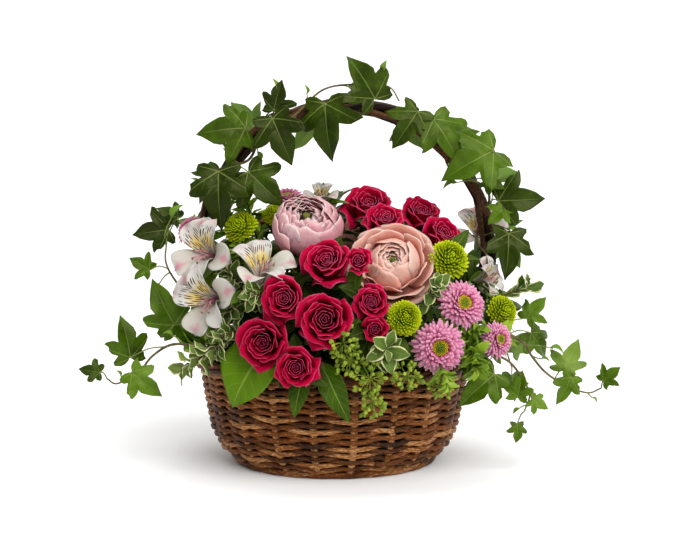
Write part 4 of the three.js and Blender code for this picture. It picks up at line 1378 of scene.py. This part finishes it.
def seed_cup(made, start, tip, size):
    """A seed cup on its stalk, drawn out to a point."""
    along = unit(tip - start) * size
    line = np.stack([start] + [tip + along * d for d in (-1.3, -0.8, 0.0, 0.7, 1.4)])
    girth = np.array([0.28, 0.34, 0.72 * size, size, 0.62 * size, 0.1])
    rod(made, line, girth, 7, (chance.random(), chance.random(), 0))


seed_green = stalk_finish("eucalyptus seed cups", "4C6412", "98A836", 0.55)

for name, clusters in SEED_CLUSTERS.items():
    branch = Made()
    for middle, reach, bunches in clusters:
        middle = np.asarray(middle, float)
        line = smooth_line(stem_points([middle - [0, -3, 0], middle], clusters[0][0]), 24)
        rod(branch, line, np.linspace(1.1, 0.6, len(line)), 5, PLAIN, 1)
        for k in range(bunches):
            level = 1 - 2 * (k + 0.5) / bunches
            flat = math.sqrt(1 - level * level)
            way = np.array([flat * math.cos(k * GOLDEN), flat * math.sin(k * GOLDEN), level])
            fork = middle + way * reach * chance.uniform(0.35, 0.8)
            if blocked(fork + way * SEED_ROOM, fork + unit(ROOT - fork) * COVERED):
                continue
            twiglet = smooth_line([middle, middle + (fork - middle) * 0.5 + [0, 0, 1.2], fork], 4)
            rod(branch, twiglet, 0.45, 5, PLAIN, 0)
            for n in range(SEEDS_A_BUNCH):
                aside = unit(way + 0.9 * np.array([chance.uniform(-1, 1) for _ in range(3)]))
                seed_cup(branch, fork, fork + aside * chance.uniform(3.6, 6.0), chance.uniform(1.6, 2.15))
    branch.piece(name + "_seeds", [seed_green, green_stalk], "eucalyptus_seed", name)


# ---------------------------------------------------------------------------------------------------
# The ivy. Long vines pushed into the foam: two wind up the handle and meet near its top, the others
# trail over the sides. Five-lobed leaves stand on thin curved stalks, with curled young shoots between.

# one side of a leaf, in units of its length: strokes that meet at its tips and notches
IVY_OUTLINE = [
    [(0, 0), (-0.08, 0.08), (-0.15, 0.21), (-0.13, 0.40)],
    [(-0.13, 0.40), (0.0, 0.38), (0.10, 0.31)],
    [(0.10, 0.31), (0.19, 0.46), (0.29, 0.55), (0.41, 0.62)],
    [(0.41, 0.62), (0.46, 0.49), (0.46, 0.36), (0.42, 0.25)],
    [(0.42, 0.25), (0.57, 0.255), (0.75, 0.18), (0.88, 0.08), (1, 0)],
]
STROKE_STEPS = [4, 3, 4, 4, 5]
IVY_RINGS = [0.0, 0.3, 0.55, 0.78, 0.93, 1.0]
IVY_MIDDLE = 0.2
VEIN_ANGLES = [0, 56, 106]
VEIN_REACH = [1.0, 0.78, 0.44]
VEIN_SPREAD = 28  # the leaf is puffed up fully from this many degrees beside a vein
VINE = 1.2
LEAF_THICKNESS = 0.4
DROOP_LENGTH = 1.05  # a leaf is made this much longer, because its drooping tip takes it away again


def ivy_outline():
    """The outline of one leaf, no two alike: lobes a little longer, shorter or bent aside."""
    halves = []
    for side in (1, -1):
        spread, long = chance.uniform(0.80, 1.12), chance.uniform(0.85, 1.15)
        points = []
        for stroke, steps in zip(IVY_OUTLINE, STROKE_STEPS):
            points.extend(smooth_line([(x, y, 0) for x, y in stroke], steps)[:-1, :2])
        points = np.array(points + [(1.0, 0.0)])
        lobe = np.exp(-(((points[:, 0] - 0.36) / 0.2) ** 2))
        points[:, 1] *= 1 + (spread - 1) * (0.4 + 0.6 * lobe)
        points[:, 0] += lobe * 0.5 * (long - 1) * points[:, 1] * 2
        number = np.arange(len(points))
        points[:, 1] *= 1 + 0.06 * np.sin(1.9 * number + chance.uniform(0, 6.3))
        halves.append(points * [1, side])
    return np.concatenate([halves[0], halves[1][::-1][1:-1]])


def ivy_leaf(made, base, tip, face, age):
    """A lobed leaf: puffed up between its veins, folded a little along the middle, its tips drooping."""
    base, tip = np.asarray(base, float), np.asarray(tip, float)
    along = tip - base
    length = np.linalg.norm(along)
    along = along / length
    length = DROOP_LENGTH * length
    up = unit(face - along * np.dot(face, along))
    across = np.cross(up, along)
    outline = ivy_outline()
    around = len(outline)
    rings = np.array(IVY_RINGS)[:, None, None]
    middle = np.array([IVY_MIDDLE, 0.0])
    flat = middle + rings * (outline[None] - middle)
    x, y = flat[..., 0], flat[..., 1]
    spread = np.hypot(x, y)
    angle = np.degrees(np.arctan2(np.abs(y), x))
    gap = np.min(np.abs(angle[..., None] - np.array(VEIN_ANGLES)), axis=-1) / VEIN_SPREAD
    puff = 0.07 * np.clip(gap, 0, 1) ** 0.8 * np.minimum(1, spread / 0.35)
    droop = chance.uniform(0.18, 0.52)
    fold = chance.uniform(0.0, 0.46)
    twist = chance.uniform(-0.4, 0.4)
    lean = chance.uniform(-0.25, 0.25)
    number = np.arange(around)
    wave = 0.030 * np.sin(number * 0.9 + chance.uniform(0, 6))[None] * rings[..., 0] ** 3
    height = puff + 0.6 * droop * x * (1 - x) - droop * (np.abs(y) ** 1.8 + 0.35 * x**2)
    height = height + fold * np.abs(y) + twist * x * y + lean * y + wave
    grid = base + length * (along * x[..., None] + across * y[..., None] + up * height[..., None])
    # the middle point, then the rings round it
    top = np.concatenate([grid[0, :1], grid[1:].reshape(-1, 3)])
    maps = np.tile(np.concatenate([flat[0, :1], flat[1:].reshape(-1, 2)]), (2, 1))
    total = len(top)
    after = np.roll(number, -1)
    ring = 1 + around * np.arange(len(IVY_RINGS) - 1)[:, None]
    near, far, last = ring[:-1], ring[1:], ring[-1]
    bands = np.stack([near + number, far + number, far + after, near + after], -1).reshape(-1, 4)
    rim = np.stack([last + number, total + last + number, total + last + after, last + after], -1)
    quads = np.concatenate([bands, bands[:, UNDERSIDE] + total, rim])
    fan = np.stack([np.zeros(around, int), 1 + number, 1 + after], -1)
    fans = np.concatenate([fan, fan[:, ::-1] + total])
    tones = np.tile([chance.random(), age, 0.0], (2 * total, 1))
    tones[total:, 2] = 1
    start = made.add(np.concatenate([top, top - up * LEAF_THICKNESS]), quads, maps[quads], tones, 0)
    made.cover(start, fans, maps[fans], 0)


def ivy_leaf_finish():
    """Deep green and satin, with pale veins that fan out from the stalk and thin ones between them."""
    leaf = Finish("ivy leaf")
    x, y = leaf.place()
    y = abs(y)
    own, age, under = leaf.tone()
    cloud = leaf.cloud(48.0, 4.0, 0.6)
    main = thin = None
    for angle, reach in zip(VEIN_ANGLES, VEIN_REACH):
        c, s = math.cos(math.radians(angle)), math.sin(math.radians(angle))
        run = x * c + y * s
        off = abs(x * s - y * c)
        ahead = run.sum("GREATER_THAN", 0.0)
        vein = leaf.fade(run * (-0.011 / reach) - off, -0.015, -0.007) * ahead
        slant = cloud * 1.6 + (run - off * 0.8) * 6.0
        branch = leaf.fade(abs(slant.part() - 0.5), 0.07, 0.0075) * off.sum("LESS_THAN", 0.12) * ahead
        main = main.most(vein) if main else vein
        thin = thin.most(branch) if thin else branch
    share = age * 0.6 + own * 0.14 + cloud * 0.45 - 0.11
    color = leaf.blend(share, (0.1, "0E1600"), (0.36, "223200"), (0.6, "4A680C"), (0.9, "8AA04C"))
    color = leaf.mix(thin * 0.06, color, "7E9040")
    color = leaf.mix(main * 0.36, color, "98A458")
    color = leaf.mix(under * 0.45, color, "78944C")
    return leaf.done(
        color, cloud * 0.25 + under * 0.2 + 0.24, [(cloud * 0.25 - main.most(thin) * 0.5, 0.5, 0.0005)],
        shine=0.2, tint=LEAF_SHEEN, glow=0.06, reach=LEAF_SOAK, spread=0.5,
    )


ivy_skin = ivy_leaf_finish()
vine_skin = stalk_finish("ivy vine", "33301A", "7A6A44", 0.6)
young_skin = stalk_finish("young ivy stalk", "4A5A22", "82924A", 0.5)
young_leaf = leaf_finish("young ivy leaf", "2C4208", "62802A", "8C9E50", rough=0.45, side_veins=5.0)


def young_shoot(made, start, way, length, curl, age):
    """A thin curled shoot, with a small folded leaf, not yet lobed, at its end."""
    way = unit(way)
    side = unit(np.cross(way, [0.1, 1.0, 0.2]))
    s = np.linspace(0, 1, 9)[:, None]
    line = start + way * length * s + side * curl * length * s**2
    rod(made, line, np.linspace(0.8, 0.5, 9), 5, PLAIN, 2)
    heading = unit(line[-1] - line[-2])
    tip = line[-1] + heading * (0.25 * length + 4)
    face = unit(np.array([0.3, -0.5, 0.9]))
    small_leaf(made, line[-2], tip, face, 0.24, (age, 0.5, 0), 3, fold=0.5, bend=0.2, fine=(5, 7))


def ivy_vine(name, points, leaves, shoots, age, winds=()):
    """A vine through the points outside the foam, and through what it winds on. Leaves: share of the vine
    where the stalk starts, base, tip, and its age (0 old and dark) if it isn't near the vine's. Shoots:
    share, way, length and curl."""
    made = Made()
    line = stem_points(points, points[0]) + list(winds)
    line = smooth_line(line, 12 * (len(line) - 1))
    run = np.concatenate([[0], np.cumsum(np.linalg.norm(np.diff(line, axis=0), axis=1))])
    run = run / run[-1]
    rod(made, line, np.interp(run, [0, 0.6, 1], [1.25, 1.1, 0.6]) * VINE, 7, PLAIN, 1)

    def at(share):
        return np.array([np.interp(share, run, line[:, i]) for i in range(3)])

    for share, base, tip, *own in leaves:
        base, tip = np.asarray(base, float), np.asarray(tip, float)
        start = at(share)
        lift = start + (base - start) * 0.5 + np.array([0, -1.0, 3.0])
        rod(made, smooth_line([start, lift, base, base + (tip - base) * 0.05], 12), 0.65, 5, PLAIN, 2)
        back = 1.0 if base[1] > 6 else -1.0
        face = np.array([chance.uniform(-0.45, 0.45), back, 0.3 + chance.uniform(-0.3, 0.3)])
        leaf_age = own[0] if own else np.clip(age + chance.uniform(-0.25, 0.25), 0, 1)
        ivy_leaf(made, base, tip, face, leaf_age)
    for share, way, length, curl in shoots:
        young_shoot(made, at(share), np.asarray(way, float), length, curl, 0.9)
    made.piece(name + "_vine", [ivy_skin, vine_skin, young_skin, young_leaf], "ivy_leaf", name)


WIND_DISTANCE = 10.2  # from the middle of the handle to the middle of the vine


def beside_hoop(degrees, round_degrees):
    """A place of the vine: degrees along the hoop from its right end, and round it from its outside."""
    angle, turn = math.radians(degrees), math.radians(round_degrees)
    reach = HOOP_REACH + WIND_DISTANCE * math.cos(turn)
    x, z = HOOP_X + reach * math.cos(angle), HOOP_Z + reach * math.sin(angle)
    return (x, -WIND_DISTANCE * math.sin(turn), z)


def wind_up(low, high, turns):
    """Points of a vine that turns round the hoop, from the low to the high degrees along it."""
    count = math.ceil(turns * 5)
    shares = [i / count for i in range(count + 1)]
    return [beside_hoop(low + (high - low) * share, 90 + 360 * turns * share) for share in shares]


ivy_vine(
    "ivy_left",
    [(-92, -24, 122), (-114, -16, 156)],
    [
        (0.5, (-103, -18, 265), (-102, -28, 216), 0.15),
        (0.56, (-77, -13, 264), (-47, -22, 236), 0.3),
        (0.62, (-79, -13, 303), (-120, -22, 300), 0.35),
        (0.5, (-104, 14, 262), (-124, 20, 236)),
        (0.68, (-54, -12, 319), (-47, -14, 345), 0.2),
        (0.7, (-55, -18, 312), (-38, -27, 273), 0.1),
        (0.8, (-8, -16, 325), (-4, -27, 277), 0.35),
        (0.76, (-16, 14, 306), (-36, 18, 284), 1.0),
        (0.64, (-74, 14, 302), (-92, 22, 324)),
        (0.9, (36, -14, 329), (14, -18, 366), 0.3),
        (0.86, (22, 14, 334), (44, 18, 352)),
    ],
    [
        (0.72, (0.6, -0.3, 1.0), 22, 0.4), (0.58, (-0.9, -0.2, 0.5), 20, -0.3),
        (0.8, (0.1, -0.2, 1), 10, 0.1), (0.66, (-0.3, -0.5, -1), 18, 0.3),
        (0.93, (0.9, -0.2, 0.4), 16, 0.5), (0.47, (-0.7, -0.5, 0.1), 16, -0.5),
    ],
    0.25,
    wind_up(176, 112, 2) + [(-10, -6, 337), (22, -8, 342), (48, -12, 340), (58, -14, 327)],
)
ivy_vine(
    "ivy_right",
    [(96, -26, 122), (128, -16, 160)],
    [
        (0.97, (74, -15, 318), (53, -24, 287), 0.4),
        (0.93, (88, -16, 311), (111, -26, 276), 0.5),
        (0.95, (64, 12, 312), (80, 20, 284)),
        (0.8, (142, -16, 283), (97, -26, 260), 0.42),
        (0.62, (147, -12, 238), (187, -16, 240), 0.4),
        (0.6, (152, -14, 232), (138, -20, 218)),
        (0.52, (156, -16, 209), (154, -28, 171), 0.15),
        (0.68, (134, -14, 256), (152, -18, 250)),
        (0.72, (140, 14, 252), (166, 20, 262)),
        (0.5, (152, 14, 200), (170, 20, 176)),
        (0.86, (106, 14, 300), (122, 20, 274)),
    ],
    [
        (0.96, (0.8, -0.2, 0.7), 14, -0.5), (0.7, (-0.6, -0.5, 0.5), 20, 0.8),
        (0.56, (1.0, -0.2, 0.3), 26, -0.5), (0.6, (0.8, -0.3, 0.9), 18, 0.5),
        (0.84, (0.7, -0.4, 0.8), 14, 0.5),
    ],
    0.55,
    wind_up(-4, 64, 2),
)
ivy_vine(
    "ivy_side_left",
    [(-108, -36, 132), (-134, -30, 158), (-150, -24, 182), (-150, -18, 204)],
    [
        (1.0, (-140, -14, 222), (-158, -18, 232)),
        (0.94, (-148, -20, 213), (-179, -24, 209)),
        (0.86, (-165, -24, 177), (-182, -26, 188)),
        (0.62, (-142, -40, 130), (-160, -48, 169)),
        (0.56, (-142, -26, 134), (-128, -30, 108)),
    ],
    [(0.84, (-1, -0.2, -0.5), 14, 0.4), (0.97, (-0.5, -0.2, 1), 24, -0.9)],
    0.35,
)
ivy_vine(
    "ivy_trail_left",
    [
        (-116, -72, 116), (-142, -62, 116), (-160, -57, 105), (-172, -54, 91), (-192, -50, 79),
        (-202, -44, 82),
    ],
    [
        (0.68, (-180, -54, 103), (-186, -56, 139)),
        (0.86, (-178, -60, 91), (-153, -64, 71)),
        (1.0, (-209, -40, 87), (-228, -38, 90)),
    ],
    [(0.6, (-0.4, -0.2, 0.9), 12, 0.5), (0.52, (-0.2, -0.2, -1), 8, 0.5), (0.92, (-0.1, -0.2, 1), 6, 0.2)],
    0.5,
)
ivy_vine(
    "ivy_trail_right",
    [
        (134, -58, 128), (164, -50, 118), (176, -48, 102), (188, -46, 88), (206, -45, 76), (226, -42, 69),
        (238, -41, 73),
    ],
    [
        (0.52, (172, -28, 134), (188, -28, 153)),
        (0.58, (176, -24, 120), (192, -22, 97)),
        (0.82, (204, -45, 90), (216, -50, 117)),
        (0.86, (210, -47, 84), (198, -52, 61)),
        (1.0, (240, -40, 79), (254, -42, 92)),
    ],
    [
        (0.7, (0.9, -0.2, -0.6), 10, 0.3), (0.66, (0.9, -0.2, 0.1), 24, -0.2),
        (0.95, (0.5, -0.2, -0.8), 6, 0.2),
    ],
    0.7,
)
ivy_vine(
    "ivy_trail_low",
    [(128, -72, 110), (150, -68, 104), (163, -66, 90), (172, -62, 72), (168, -60, 56)],
    [
        (0.62, (140, -74, 92), (110, -86, 68)),
        (0.84, (161, -68, 70), (165, -66, 93)),
        (0.9, (174, -62, 67), (189, -62, 59)),
        (1.0, (162, -58, 44), (162, -60, 28)),
    ],
    [(0.97, (-0.9, -0.2, -0.1), 8, 0.3)],
    0.6,
)
ivy_vine(
    "ivy_back",
    [(118, 64, 116), (142, 72, 112), (160, 70, 92), (168, 66, 72)],
    [
        (0.66, (138, 78, 126), (152, 84, 152)),
        (0.8, (150, 82, 96), (134, 94, 72)),
        (0.9, (170, 76, 84), (188, 74, 104)),
        (1.0, (168, 66, 64), (172, 68, 40)),
    ],
    [(0.86, (0.8, 0.3, -0.4), 12, 0.4)],
    0.5,
)


# ---------------------------------------------------------------------------------------------------
# The table top it stands on, the light and the camera. White paper swept up behind, large soft lamps.

FLOOR_REACH = 30.0
SWEEP_START = 2.2
SWEEP_RADIUS = 1.2
SWEEP_HEIGHT = 3.5

section = [(-FLOOR_REACH, 0.0), (SWEEP_START, 0.0)]
section += [
    (SWEEP_START + SWEEP_RADIUS * math.sin(a), SWEEP_RADIUS * (1 - math.cos(a)))
    for a in np.linspace(0, math.pi / 2, 13)[1:]
]
section.append((SWEEP_START + SWEEP_RADIUS, SWEEP_HEIGHT))
corners = [(x, y, z) for y, z in section for x in (-FLOOR_REACH, FLOOR_REACH)]
faces = [(2 * i, 2 * i + 1, 2 * i + 3, 2 * i + 2) for i in range(len(section) - 1)]
paper = bpy.data.meshes.new("paper")
paper.from_pydata(corners, [], faces)
for face in paper.polygons:
    face.use_smooth = True
paper.materials.append(Finish("white paper").done("FAFAFA", 0.9))
table = bpy.data.objects.new("paper", paper)
bpy.context.scene.collection.objects.link(table)

world = bpy.data.worlds.new("studio")
world.use_nodes = True
world.node_tree.nodes["Background"].inputs["Color"].default_value = (1, 1, 1, 1)
world.node_tree.nodes["Background"].inputs["Strength"].default_value = 0.48
bpy.context.scene.world = world


def aimed(place, aim):
    """The turn of a lamp that looks from its place at the aim."""
    away = np.array(aim, float) - np.array(place, float)
    across = math.hypot(away[0], away[1])
    return (math.atan2(across, -away[2]), 0, math.atan2(-away[0], away[1]))


def lamp(name, kind, place, power, **settings):
    """Hangs a lamp that shines on the flowers."""
    light = bpy.data.lights.new(name, kind)
    light.energy = power
    for key, value in settings.items():
        setattr(light, key, value)
    holder = bpy.data.objects.new(name, light)
    holder.location = place
    holder.rotation_euler = aimed(place, (0, 0, 0.15))
    bpy.context.scene.collection.objects.link(holder)


lamp("daylight window", "SUN", (1.1, -1.9, 2.2), 2.75, angle=math.radians(50))
lamp("soft top", "AREA", (0.1, 0.2, 1.9), 11, shape="DISK", size=1.2)

CAMERA_PLACE = (0.014, -1.6, 0.384)
CAMERA_DOWN = 7.4  # degrees that it looks down
PICTURE_WIDTH = 700
FOCAL_PIXELS = 1778
camera = bpy.data.cameras.new("camera")
camera.sensor_width = 36
camera.lens = 36 * FOCAL_PIXELS / PICTURE_WIDTH
camera.clip_start = 0.05
eye = bpy.data.objects.new("camera", camera)
eye.location = CAMERA_PLACE
eye.rotation_euler = (math.radians(90 - CAMERA_DOWN), 0, 0)
bpy.context.scene.collection.objects.link(eye)
bpy.context.scene.camera = eye
bpy.context.scene.view_settings.view_transform = "Standard"
